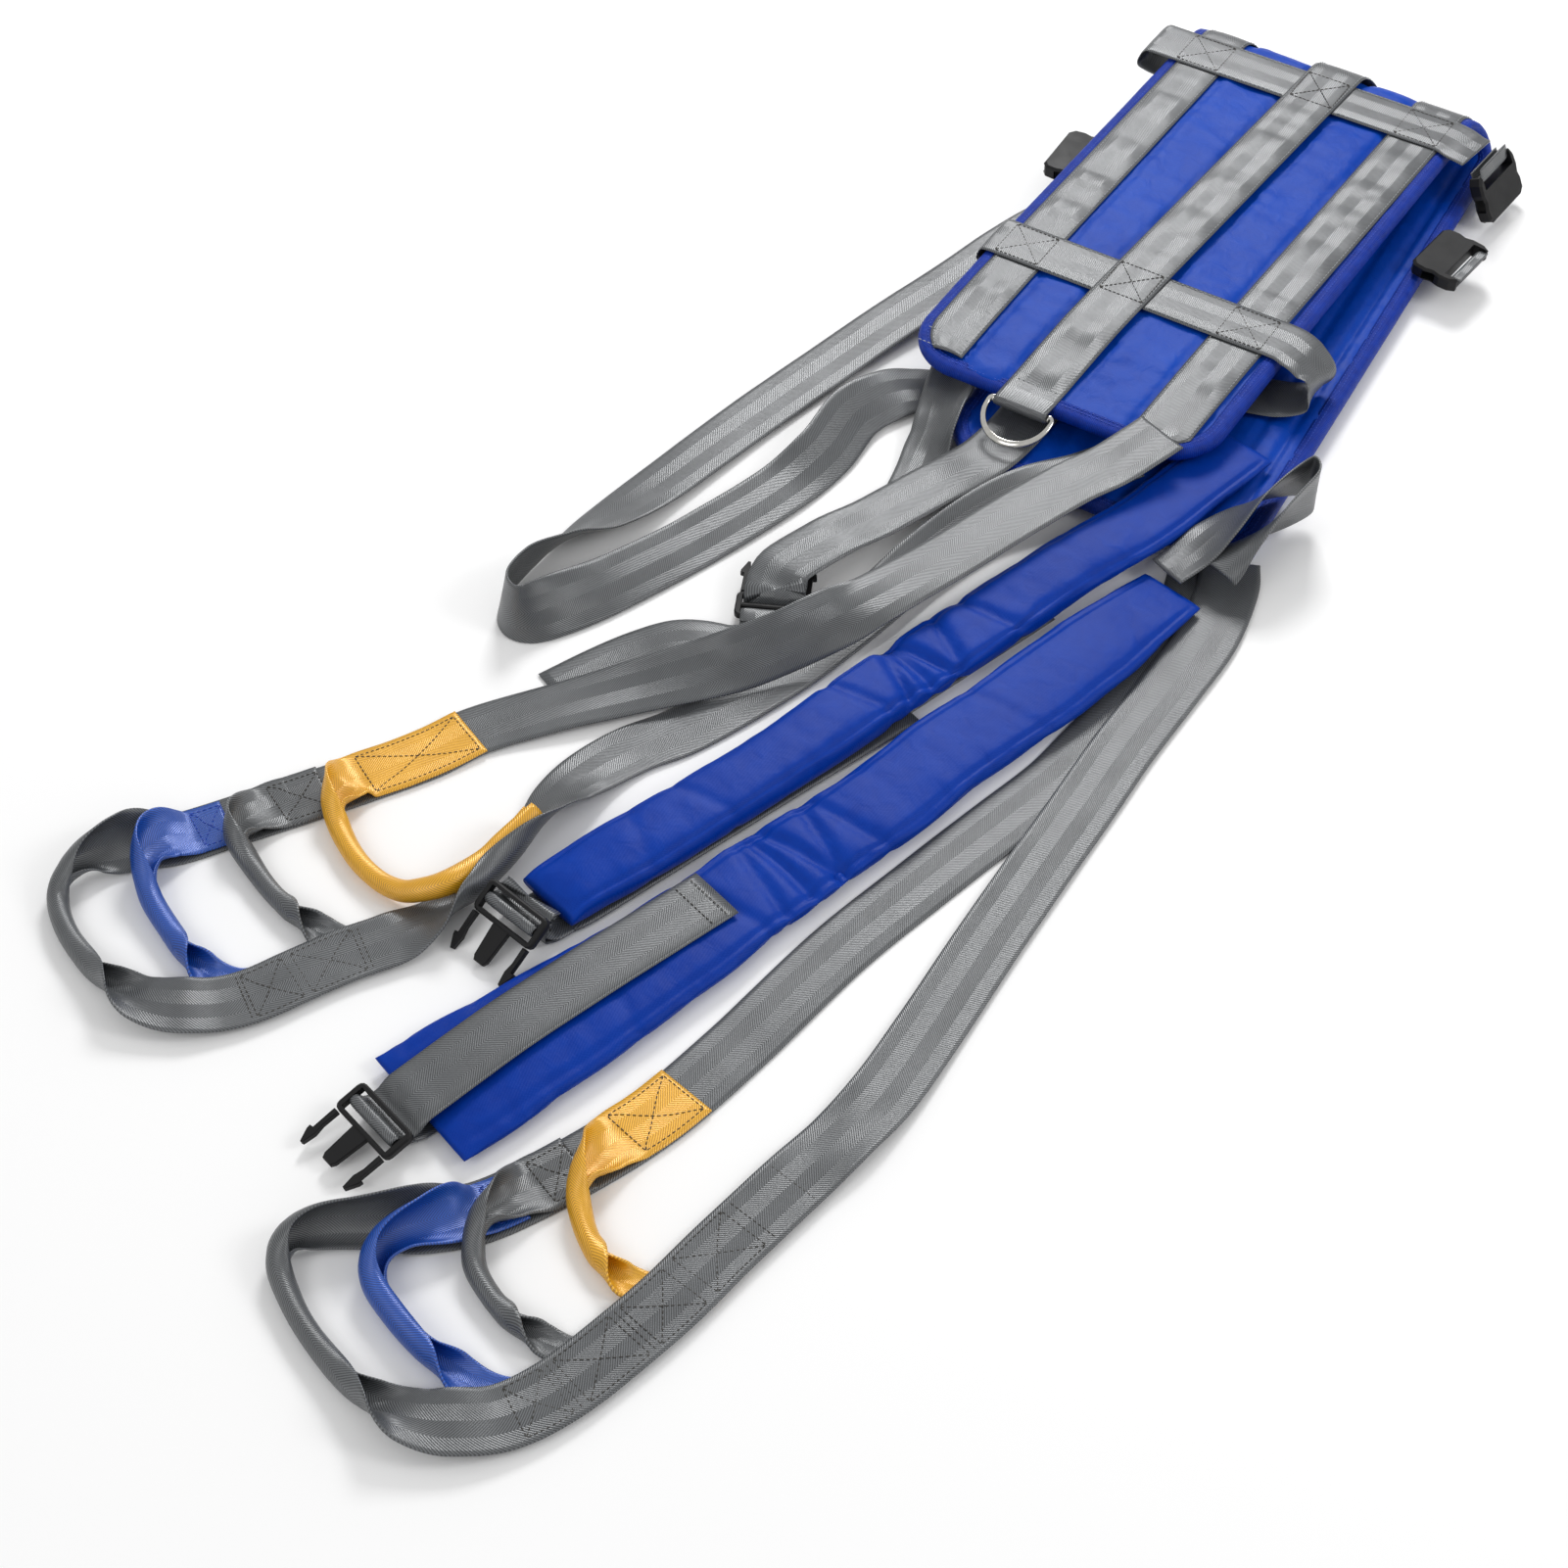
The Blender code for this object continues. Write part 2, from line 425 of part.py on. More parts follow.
def free_straps():
    ribbon("strap_loop_left", LOOP_LEFT)
    ribbon("strap_short_left", STRAP_SHORT)
    ribbon("strap_hanging_left", HANG_LEFT, steps=2)
    ribbon("rung_left_yellow", RUNG_L_YELLOW, "webbing_yellow")
    ribbon("rung_left_grey", RUNG_L_GREY)
    ribbon("rung_left_blue", RUNG_L_BLUE, "webbing_royal")
    ribbon("strap_hanging_right", HANG_RIGHT, steps=2)
    ribbon("rung_right_yellow", RUNG_R_YELLOW, "webbing_yellow")
    ribbon("rung_right_grey", RUNG_R_GREY)
    ribbon("rung_right_blue", RUNG_R_BLUE, "webbing_royal")
    ribbon("strap_loop_right", LOOP_RIGHT)


# ---------------------------------------------------------------- padded leg straps
# Pad rows: middle x, y, underside z, width, thickness.
PAD_1 = [
    (0.138, 0.510, 0.0200, 0.058, 0.012), (0.124, 0.450, 0.0200, 0.062, 0.013), (0.107, 0.375, 0.0200, 0.064, 0.014),
    (0.082, 0.310, 0.0150, 0.064, 0.018), (0.062, 0.250, 0.0080, 0.064, 0.022), (0.045, 0.195, 0.0060, 0.064, 0.022),
    (0.032, 0.155, 0.0055, 0.062, 0.019), (0.020, 0.115, 0.0055, 0.062, 0.024), (0.003, 0.045, 0.0055, 0.062, 0.027),
    (-0.022, -0.040, 0.0055, 0.062, 0.027), (-0.047, -0.115, 0.0055, 0.062, 0.027), (-0.071, -0.178, 0.0055, 0.060, 0.024),
    (-0.078, -0.201, 0.0070, 0.058, 0.018)]
PAD_2 = [
    (0.160, 0.336, 0.0060, 0.058, 0.010), (0.150, 0.290, 0.0060, 0.066, 0.015), (0.138, 0.235, 0.0060, 0.078, 0.018),
    (0.119, 0.160, 0.0055, 0.080, 0.018), (0.097, 0.085, 0.0050, 0.080, 0.018), (0.079, 0.005, 0.0050, 0.080, 0.018),
    (0.061, -0.050, 0.0050, 0.082, 0.017), (0.043, -0.110, 0.0050, 0.088, 0.015), (0.019, -0.200, 0.0045, 0.096, 0.017),
    (-0.012, -0.295, 0.0045, 0.106, 0.016), (-0.040, -0.375, 0.0045, 0.112, 0.013), (-0.049, -0.400, 0.0060, 0.112, 0.009)]


def pad(name, rows, steps=2):
    """Padded sleeve: a rounded flat section carried along its middle line."""
    rows = spline(rows, steps)
    mid = rows[:, :2]
    t = np.gradient(mid, axis=0)
    t /= np.linalg.norm(t, axis=1)[:, None]
    left = np.column_stack([-t[:, 1], t[:, 0]])
    rings = []
    for (x, y, z, w, h), (lx, ly) in zip(rows, left):
        ring = []
        for a in np.arange(12) * math.pi / 6 + math.pi / 12:
            c, s = math.cos(a), math.sin(a)
            e = 0.42
            c, s = math.copysign(abs(c) ** e, c), math.copysign(abs(s) ** e, s)
            m = math.cos(math.pi / 12) ** e
            ring.append((x + lx * c / m * w / 2, y + ly * c / m * w / 2, z + h / 2 + s / m * h / 2))
        rings.append(ring)
    verts, faces = loft(rings)
    solid(name, verts, faces, "nylon_navy")


# ---------------------------------------------------------------- side-release buckles
def frame_at(pos, toward, pitch=0.0, roll=0.0):
    """Matrix of a buckle at its webbing bar: +Y along `toward` on the floor, tipped up by `pitch`."""
    yaw = math.atan2(-toward[0], toward[1])
    return (Matrix.Translation(Vector(pos)) @ Matrix.Rotation(yaw, 4, "Z")
            @ Matrix.Rotation(math.radians(pitch), 4, "X") @ Matrix.Rotation(math.radians(roll), 4, "Y"))


def prism(outline_xy, z0, z1, chamfer=0.0):
    """Vertices and faces of an outline raised from z0 to z1, its rims drawn in by `chamfer`."""
    pts = np.asarray(outline_xy, float)
    mid = (pts.max(0) + pts.min(0)) / 2
    size = (pts.max(0) - pts.min(0)) / 2
    inner = mid + (pts - mid) * (1 - chamfer / size)
    rings = ([[(x, y, z0) for x, y in inner], [(x, y, z0 + chamfer) for x, y in pts],
              [(x, y, z1 - chamfer) for x, y in pts], [(x, y, z1) for x, y in inner]]
             if chamfer else [[(x, y, z0) for x, y in pts], [(x, y, z1) for x, y in pts]])
    return loft(rings)


def helper(verts, faces):
    """A hidden mesh used to cut or to add."""
    mesh = bpy.data.meshes.new("cutter")
    mesh.from_pydata(verts, [], faces)
    bm = bmesh.new()
    bm.from_mesh(mesh)
    bmesh.ops.recalc_face_normals(bm, faces=bm.faces)
    bm.to_mesh(mesh)
    bm.free()
    obj = bpy.data.objects.new("cutter", mesh)
    bpy.context.scene.collection.objects.link(obj)
    obj.hide_render = True
    obj.display_type = "WIRE"
    return obj


def combine(base, others, operation):
    for other in others:
        mod = base.modifiers.new(operation.lower(), "BOOLEAN")
        mod.operation, mod.object, mod.solver = operation, other, "EXACT"


def box(x0, x1, y0, y1, z0, z1):
    return prism([(x0, y0), (x1, y0), (x1, y1), (x0, y1)], z0, z1)


def baked(name, base, turn, kind):
    """The evaluated helper turned into a finished node at its place, pivoting at the bar."""
    bpy.context.view_layer.update()
    graph = bpy.context.evaluated_depsgraph_get()
    mesh = bpy.data.meshes.new_from_object(base.evaluated_get(graph))
    mesh.transform(turn.to_quaternion().to_matrix().to_4x4())
    obj = bpy.data.objects.new(name, mesh)
    obj.location = turn.translation + Vector((*SHIFT, 0))
    bpy.context.scene.collection.objects.link(obj)
    mesh.materials.clear()
    give(obj, kind)
    return obj


def clear_helpers():
    for obj in [o for o in bpy.data.objects if o.hide_render]:
        bpy.data.objects.remove(obj)


def rounded(w, l0, l1, r, n=4):
    """Rounded rectangle outline, w wide, from y = l0 to l1."""
    pts = []
    for cx, cy, a0 in ((w / 2 - r, l1 - r, 0), (-w / 2 + r, l1 - r, 90), (-w / 2 + r, l0 + r, 180), (w / 2 - r, l0 + r, 270)):
        pts += [(cx + r * math.cos(math.radians(a0 + a)), cy + r * math.sin(math.radians(a0 + a)))
                for a in np.linspace(0, 90, n)]
    return pts


def rod(x0, x1, r, y=0.0, n=10):
    rings = [[(x, y + r * math.cos(a), r * math.sin(a)) for a in np.arange(n) * 2 * math.pi / n] for x in (x0, x1)]
    return loft(rings)


ARM_X, ARM_Y = 0.0265, 0.0140      # pivot of a side arm, from the webbing bar
ARM = [(-0.0022, 0.0), (0.0022, 0.0), (0.0018, 0.020), (0.0050, 0.0205), (0.0046, 0.0235), (-0.0002, 0.0330),
       (-0.0022, 0.0325), (-0.0036, 0.0220), (-0.0020, 0.014)]


def plug(name, turn):
    """Male plug: frame with its adjusting bar and middle tongue, and two arms that flex inwards."""
    t = PLUG_T / 2
    base = helper(*prism(rounded(PLUG_W, -0.0130, 0.0135, 0.005), -t, t, 0.0012))
    tongue = helper(*prism([(-0.0085, 0.010), (0.0085, 0.010), (0.0065, 0.040), (0.0045, 0.0435),
                            (-0.0045, 0.0435), (-0.0065, 0.040)], -0.0024, 0.0024, 0.0008))
    slot = helper(*box(-0.0262, 0.0262, -0.0092, 0.0098, -0.01, 0.01))
    bar = helper(*rod(-0.0275, 0.0275, BAR_R))
    combine(base, [slot], "DIFFERENCE")
    combine(base, [tongue, bar], "UNION")
    baked(name + "_frame", base, turn, "acetal_black")
    for side, mark in ((-1, "left"), (1, "right")):
        pts = [(side * x, y + 0.0003) for x, y in ARM]
        arm = helper(*prism(pts if side > 0 else pts[::-1], -0.0026, 0.0026, 0.0006))
        baked(f"{name}_arm_{mark}", arm, turn @ Matrix.Translation((side * ARM_X, ARM_Y, 0)), "acetal_black")
    clear_helpers()


def receptacle(name, turn):
    """Female receptacle: hollow body with side windows and a webbing bar behind a slot."""
    t = SOCKET_T / 2
    w = SOCKET_W / 2
    base = helper(*prism([(-w + 0.004, -0.004), (w - 0.004, -0.004), (w - 0.0005, 0.002), (w, 0.012), (w - 0.002, 0.020),
                          (w, 0.028), (w - 0.001, 0.038), (w - 0.006, SOCKET_L - 0.002), (-w + 0.006, SOCKET_L - 0.002),
                          (-w + 0.001, 0.038), (-w, 0.028), (-w + 0.002, 0.020), (-w, 0.012), (-w + 0.0005, 0.002)],
                         -t, t, 0.0020))
    socket = helper(*box(-0.0288, 0.0288, 0.0125, 0.06, -0.0040, 0.0040))
    windows = [helper(*box(s * 0.027 - 0.009, s * 0.027 + 0.009, 0.0165, 0.0290, -0.0040, 0.0040)) for s in (-1, 1)]
    slot = helper(*box(-0.0262, 0.0262, -0.02, 0.0095, -0.02, 0.02))
    bar = helper(*rod(-0.0275, 0.0275, BAR_R))
    combine(base, [socket, *windows, slot], "DIFFERENCE")
    combine(base, [bar], "UNION")
    baked(name, base, turn, "acetal_black")
    clear_helpers()


def around(r, a0, a1, n=9):
    """Arc of (y, z) points about the webbing bar, angles in degrees from +Y."""
    return [(r * math.cos(math.radians(a)), r * math.sin(math.radians(a))) for a in np.linspace(a0, a1, n)]


WRAP_R = BAR_R + 0.0016
PLUG_1 = frame_at((-0.0866, -0.2366, 0.0296), (-0.20, -0.980), -35)
PLUG_2 = frame_at((-0.065, -0.4320, 0.0185), (-0.30, -0.954), -14)
PLUG_3 = frame_at((-0.104, 0.150, 0.0105), (-0.42, 0.907), 3)
SOCKET_1 = frame_at((0.1690, 0.954, 0.0470), (0.28, -0.02), -62)
SOCKET_2 = frame_at((0.2030, 0.832, 0.0262), (-1.0, 0.10), 3)
SOCKET_3 = frame_at((-0.1490, 0.787, 0.0300), (-1.0, -0.05), 0)


def world_rows(turn, points, x=0.0):
    """Local (y, z) points of a strap's middle line carried into the layout."""
    return [tuple(turn @ Vector((x, y, z))) for y, z in points]


def plug_strap(name, turn, tail, run):
    """Webbing round a plug's bar: its hemmed tail, over the bar and back as the run under the pad.
    Tail and run are layout rows in order from the buckle outwards."""
    head = around(WRAP_R, 165, -75, 11)
    path = [(-0.0165, -0.0092), (-0.0115, -0.0084), (-0.0066, -0.0050)] + head + [(-0.0030, -0.0100), (-0.0090, -0.0128)]
    rows = world_rows(turn, path)
    across = turn.to_quaternion() @ Vector((1, 0, 0))
    rings = []
    pts = np.array(list(tail[::-1]) + rows + list(run))
    smooth = pts
    tangent = np.gradient(smooth, axis=0)
    tangent /= np.linalg.norm(tangent, axis=1)[:, None]
    for i, (p, d) in enumerate(zip(smooth, tangent)):
        near = len(tail) - 1 <= i <= len(tail) + len(rows)
        side = np.array(across) if near else np.cross(d, (0, 0, 1.0))
        side = side - d * side.dot(d)
        side /= np.linalg.norm(side)
        if side.dot(np.array(across)) < 0:
            side = -side
        n = np.cross(d, side) * WEB_T / 2
        side = side * WEB / 2
        rings.append([p - side - n, p + side - n, p + side + n, p - side + n])
    verts, faces = strip(rings)
    solid(name, verts, faces, "webbing_grey")


def chest_strap():
    """Strap from under the D-ring through plug 3 to its hemmed free end."""
    through = [(0.0165, 0.0080), (0.0125, 0.0072), (0.0078, 0.0048), (0.0052, 0.0005), (0.0034, -0.0032),
               (0.0, -0.0048), (-0.0034, -0.0032), (-0.0052, 0.0005), (-0.0078, 0.0048), (-0.0125, 0.0072)]
    inside = [(p[0], p[1], p[2], 0) for p in world_rows(PLUG_3, through)]
    rows = [
        (-0.038, 0.470, 0.0215), (-0.038, 0.425, 0.0222), (-0.044, 0.385, 0.0215), (-0.062, 0.345, 0.0170),
        (-0.083, 0.285, 0.0180), (-0.100, 0.230, 0.0260), (-0.1140, 0.186, 0.0250)] + inside + [
        (-0.0920, 0.1230, 0.0150), (-0.0960, 0.1060, 0.0110, 6), (-0.1110, 0.0930, 0.0105, 14), (-0.132, 0.086, 0.0105, 14),
        (-0.152, 0.076, 0.0085, 8), (-0.170, 0.056, 0.0045, 2), (-0.186, 0.028, 0.0025), (-0.205, -0.015, 0.0015)]
    ribbon("strap_chest", rows, steps=2)


def tab(name, turn, ends):
    """Short webbing loop that holds a receptacle: both layers run back from the bar to the panel."""
    upper, lower = ends
    path = upper + around(WRAP_R, 100, -100, 11) + lower
    strip_yz(name, path, -WEB / 2, WEB / 2, turn=turn)


def buckles():
    for name, turn in (("plug_leg_upper", PLUG_1), ("plug_leg_lower", PLUG_2), ("plug_chest", PLUG_3)):
        plug(name, turn)
    for name, turn in (("receptacle_right_upper", SOCKET_1), ("receptacle_right_lower", SOCKET_2),
                       ("receptacle_left", SOCKET_3)):
        receptacle(name, turn)
    plug_strap("strap_leg_upper", PLUG_1,
               [(-0.0840, -0.2200, 0.0240), (-0.0820, -0.2175, 0.0120), (-0.0785, -0.2110, 0.0048),
                (-0.0740, -0.1980, 0.0038), (-0.066, -0.180, 0.0038), (-0.036, -0.090, 0.0038), (0.004, 0.030, 0.0038), (0.034, 0.118, 0.0038)],
               [(-0.0865, -0.2265, 0.0100), (-0.0840, -0.2190, 0.0036), (-0.0760, -0.1980, 0.0014),
                (-0.042, -0.090, 0.0014), (-0.002, 0.040, 0.0014), (0.030, 0.150, 0.0014), (0.056, 0.235, 0.0014),
                (0.068, 0.275, 0.0014)])
    plug_strap("strap_leg_lower", PLUG_2,
               [(-0.0560, -0.4030, 0.0200), (-0.0510, -0.3850, 0.0210), (-0.044, -0.360, 0.0225), (-0.030, -0.310, 0.0240),
                (-0.008, -0.240, 0.0240), (0.010, -0.185, 0.0235), (0.026, -0.135, 0.0225)],
               [(-0.0610, -0.4170, 0.0060), (-0.0560, -0.4030, 0.0024), (-0.044, -0.360, 0.0014), (-0.020, -0.280, 0.0014),
                (0.030, -0.130, 0.0014), (0.072, 0.020, 0.0014), (0.106, 0.140, 0.0014), (0.124, 0.225, 0.0014),
                (0.128, 0.262, 0.0014)])
    chest_strap()
    tab("tab_right_upper", SOCKET_1, ([(-0.0105, 0.0056), (-0.0040, 0.0047)], [(-0.0040, -0.0047), (-0.0080, -0.0050)]))
    tab("tab_right_lower", SOCKET_2, ([(-0.0060, 0.0046)], [(-0.0030, -0.0046)]))
    tab("tab_left", SOCKET_3, ([(-0.0300, 0.0041), (-0.0150, 0.0041)], [(-0.0150, -0.0041), (-0.0300, -0.0041)]))


def d_ring():
    """Nickel D-ring: a straight bar inside the webbing roll and a half round bow."""
    bow = [(RING_R * math.cos(a), -0.006 - 0.030 * math.sin(a)) for a in np.linspace(0, math.pi, 17)]
    line = [(-0.026, 0.0), (-0.013, 0.0), (0.0, 0.0), (0.013, 0.0), (0.026, 0.0), (0.0292, -0.0018)] + bow + [(-0.0292, -0.0018)]
    line = np.array(line)
    tangent = np.roll(line, -1, 0) - np.roll(line, 1, 0)
    tangent /= np.linalg.norm(tangent, axis=1)[:, None]
    tip = math.radians(20)
    rings = []
    for (x, y), (tx, ty) in zip(line, tangent):
        ring = []
        for a in np.arange(10) * math.pi / 5:
            px, py, pz = x + ty * RING_WIRE * math.cos(a), y - tx * RING_WIRE * math.cos(a), RING_WIRE * math.sin(a)
            ring.append((RING_X + px, RING_Y + py * math.cos(tip) + pz * math.sin(tip) * -1 * -1,
                         RING_Z + py * math.sin(tip) + pz * math.cos(tip)))
        rings.append(ring)
    verts, faces = loft(rings, closed=True)
    solid("d_ring", verts, faces, "nickel", smooth=True, origin=(RING_X, RING_Y, RING_Z))


RING_X = -0.0345
trunk()
free_straps()
pad("leg_pad_upper", PAD_1)
pad("leg_pad_lower", PAD_2)
buckles()
d_ring()
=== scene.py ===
# %% [markdown]
# # A walking sling belt
# A walking sling holds a person under a patient lift while they learn to walk again. It is a padded belt for
# the trunk, folded in half here, with two padded leg straps, buckles, a D-ring and two ladders of coloured
# loops that hang on the lift's hooks. Almost all of it is flat webbing, so most of this lesson is about
# carrying one cross-section of webbing along a course and rolling it up where the real strap rolls up.

# %% Frame
import math

import bpy
from mathutils import Matrix, Vector
import numpy as np


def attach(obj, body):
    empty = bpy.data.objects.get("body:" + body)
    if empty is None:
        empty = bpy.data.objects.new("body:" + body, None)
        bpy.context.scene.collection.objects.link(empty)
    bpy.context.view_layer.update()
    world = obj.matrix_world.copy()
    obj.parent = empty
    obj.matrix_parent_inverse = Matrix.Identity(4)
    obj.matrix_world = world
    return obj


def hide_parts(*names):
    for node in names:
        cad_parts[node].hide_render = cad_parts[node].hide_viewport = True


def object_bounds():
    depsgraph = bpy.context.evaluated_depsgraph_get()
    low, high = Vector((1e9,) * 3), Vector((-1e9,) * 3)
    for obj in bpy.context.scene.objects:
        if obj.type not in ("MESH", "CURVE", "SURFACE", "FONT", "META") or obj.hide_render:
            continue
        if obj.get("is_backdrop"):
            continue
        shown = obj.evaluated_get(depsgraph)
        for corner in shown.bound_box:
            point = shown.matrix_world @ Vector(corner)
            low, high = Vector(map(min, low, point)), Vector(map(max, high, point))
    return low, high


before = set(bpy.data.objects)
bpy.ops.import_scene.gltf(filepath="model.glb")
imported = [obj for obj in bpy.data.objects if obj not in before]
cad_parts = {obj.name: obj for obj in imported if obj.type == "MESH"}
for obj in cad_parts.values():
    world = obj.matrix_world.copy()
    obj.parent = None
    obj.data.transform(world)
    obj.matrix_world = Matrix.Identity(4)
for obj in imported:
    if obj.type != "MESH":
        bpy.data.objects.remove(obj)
cad_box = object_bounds()

# %% [markdown]
# ## Sizes
# All the straps are cut from 50 mm webbing, 1.8 mm thick. The routes below are measured on the laid-out sling,
# and SHIFT carries them to the middle of the whole layout.

# %% Sizes
SHIFT = np.array([0.08144, -0.19993, 0.0])
WEB, WEB_T, GAP = 0.050, 0.0018, 0.0003
PANEL_HALF, PANEL_T, CORNER = 0.140, 0.012, 0.045
TOP_Z, LOW_Z = 0.0480, 0.0125
FOLD_Y, TOP_END_Y, LOW_END_Y = 0.995, 0.450, 0.392
BAR_R = 0.0025
CROSS_Y = (FOLD_Y - 0.032, 0.617)
QUILT, WEB_SEAM = 0.024, 0.024
RING_X, RING_Y, RING_Z, RING_R, RING_WIRE = -0.0345, 0.4345, 0.0456, 0.030, 0.0024
FLOOR_GAP = 0.0003

# %% [markdown]
# ## Camera, floor and light
# The sling lies on a white floor and is seen from a standing height, 48 degrees above the floor. A long lens
# keeps the near and the far straps at one scale. One large soft light comes from behind the belt, so the silky
# webbing shows bright bands where it bends, and two weaker ones fill the right and the near side.


# %% Camera and stage
def look_at(obj, place, target):
    """Puts obj at place and points its -Z at target, with +Y as near to up as it goes."""
    away = np.subtract(place, target)
    away = away / np.linalg.norm(away)
    right = np.cross((0.0, 0.0, 1.0), away)
    right /= np.linalg.norm(right)
    up = np.cross(away, right)
    turn = np.eye(4)
    turn[:3, 0], turn[:3, 1], turn[:3, 2], turn[:3, 3] = right, up, away, place
    obj.matrix_world = Matrix(turn.tolist())
    return obj


scene = bpy.context.scene
aim = SHIFT.copy()
camera = bpy.data.objects.new("camera", bpy.data.cameras.new("camera"))
scene.collection.objects.link(camera)
camera.data.lens, camera.data.sensor_width = 70.0, 36.0
camera.data.clip_start, camera.data.clip_end = 0.05, 30.0
look_at(camera, aim + (0.835, -1.336, 1.75), aim)
scene.camera = camera


def soft_light(name, place, size, power, colour=(1.0, 1.0, 1.0)):
    """Square area light that points at the middle of the sling."""
    lamp = bpy.data.lights.new(name, "AREA")
    lamp.size, lamp.energy, lamp.color = size, power, colour
    obj = bpy.data.objects.new(name, lamp)
    scene.collection.objects.link(obj)
    return look_at(obj, aim + place, aim)


soft_light("light_back", (-1.05, 2.45, 2.1), 0.9, 56)
soft_light("light_side", (2.3, 0.9, 2.0), 1.0, 20)
soft_light("light_front", (-0.6, -2.6, 2.4), 1.6, 20)
scene.world = bpy.data.worlds.new("studio")
scene.world.use_nodes = True
scene.world.node_tree.nodes["Background"].inputs["Color"].default_value = (1.0, 1.0, 1.0, 1.0)
scene.world.node_tree.nodes["Background"].inputs["Strength"].default_value = 0.58
scene.view_settings.view_transform = "Standard"

# %% [markdown]
# ## Materials
# Each finish is a small tree of nodes. One function turns a hex colour to the linear values that Blender
# takes, and one adds a node with its settings and links.


# %% Node helpers
def linear(code):
    """sRGB hex colour as linear RGBA: c/12.92 below 0.04045, else ((c + 0.055)/1.055)^2.4."""
    parts = [int(code[i:i + 2], 16) / 255 for i in (1, 3, 5)]
    return (*[c / 12.92 if c <= 0.04045 else ((c + 0.055) / 1.055) ** 2.4 for c in parts], 1.0)


def add(tree, kind, inputs=(), **settings):
    """Adds a node. `inputs` maps a socket to a value or to another node's output socket."""
    node = tree.nodes.new("ShaderNode" + kind)
    for key, value in settings.items():
        setattr(node, key, value)
    for key, value in dict(inputs).items():
        if isinstance(value, bpy.types.NodeSocket):
            tree.links.new(value, node.inputs[key])
        else:
            node.inputs[key].default_value = value
    return node


def maths(tree, operation, *values):
    """Value of one Math node."""
    return add(tree, "Math", dict(enumerate(values)), operation=operation).outputs[0]


def new_material(name, **values):
    """Principled material with these socket values, its tree and its shader."""
    mat = bpy.data.materials.new(name)
    mat.use_nodes = True
    shader = mat.node_tree.nodes["Principled BSDF"]
    for key, value in values.items():
        shader.inputs[key.replace("_", " ")].default_value = value
    return mat, mat.node_tree, shader


def wave(tree, value, pitch):
    """sin(2 pi value / pitch)."""
    return maths(tree, "SINE", maths(tree, "MULTIPLY", value, 2 * math.pi / pitch))


def cloudy(tree, scale, detail, distortion=0.0):
    """Noise from 0 to 1, fixed to the object's own coordinates."""
    body = add(tree, "TexCoord").outputs["Object"]
    return add(tree, "TexNoise", {"Vector": body, "Scale": scale, "Detail": detail,
                                  "Distortion": distortion}).outputs[0]


def swing(tree, shade, value, amount):
    """shade + amount * (value - 1/2), for a value from 0 to 1."""
    return maths(tree, "ADD", shade, maths(tree, "MULTIPLY_ADD", value, amount, -amount / 2))


def strap_uv(tree):
    """U across the strap and V along it, in metres."""
    return add(tree, "SeparateXYZ", {0: add(tree, "UVMap", uv_map="strap").outputs[0]}).outputs


def blend(tree, shader, shade, dark, light):
    """Base colour between two linear colours."""
    colour = add(tree, "Mix", {0: shade, 6: dark, 7: light}, data_type="RGBA")
    tree.links.new(colour.outputs[2], shader.inputs["Base Color"])


def relief(tree, shader, height, strength, distance, **under):
    """Bump from a height, on top of the normal `under` where one is given."""
    bump = add(tree, "Bump", {"Strength": strength, "Distance": distance, "Height": height, **under})
    tree.links.new(bump.outputs[0], shader.inputs["Normal"])
    return bump.outputs[0]


# %% [markdown]
# ### Polyester webbing
# Belt webbing is woven in a herringbone: ribs of yarn run slantwise and turn back at each column, about
# 12 mm apart. The filament yarn is bright, so the rib tops shine along the strap, and the base colour adds a
# painted sheen: it is lighter on each rib top and darker in each groove. The pattern follows each strap
# through its own UV map, which is in metres: U is across the strap and V along it. The real ribs are
# 1.2 mm apart. They are drawn 2.2 mm apart here, because finer ones would blur away at this distance.

# %% Webbing
COLUMN, RIB, SELVAGE = 0.0125, 0.0022, 0.0016


def webbing_material(name, dark, light, rough=0.37):
    """Herringbone: a sine of V plus a folded U gives a low bump and a painted sheen, the base colour between two
    shades and lighter on each rib top.
    """
    mat, tree, shader = new_material(name, Roughness=rough, IOR=1.6, Specular_IOR_Level=0.75, Metallic=0.18)
    u, v = strap_uv(tree)[:2]
    rib = wave(tree, maths(tree, "ADD", v, maths(tree, "PINGPONG", u, COLUMN)), RIB)
    grain = cloudy(tree, 900.0, 2.0)
    # Painted sheen: the rib wave that raises the ribs also makes the base colour lighter on their tops and darker
    # in the grooves.
    shade = maths(tree, "MULTIPLY_ADD", rib, 0.55, 0.5)
    shade = swing(tree, swing(tree, shade, cloudy(tree, 42.0, 3.0), 0.5), grain, 0.5)
    blend(tree, shader, shade, linear(dark), linear(light))
    selvage = maths(tree, "LESS_THAN", maths(tree, "PINGPONG", u, WEB / 2), SELVAGE)
    height = maths(tree, "ADD", rib, maths(tree, "MULTIPLY", selvage, 1.5))
    height = maths(tree, "ADD", height, maths(tree, "MULTIPLY", grain, 0.8))
    relief(tree, shader, height, 0.4, 0.00016)
    return mat


WEBBING_GREY = webbing_material("polyester_webbing_grey", "#2E3032", "#66696C")
WEBBING_YELLOW = webbing_material("polyester_webbing_yellow", "#C08606", "#F8BA20")
WEBBING_BLUE = webbing_material("polyester_webbing_royal_blue", "#04307E", "#1058C0")
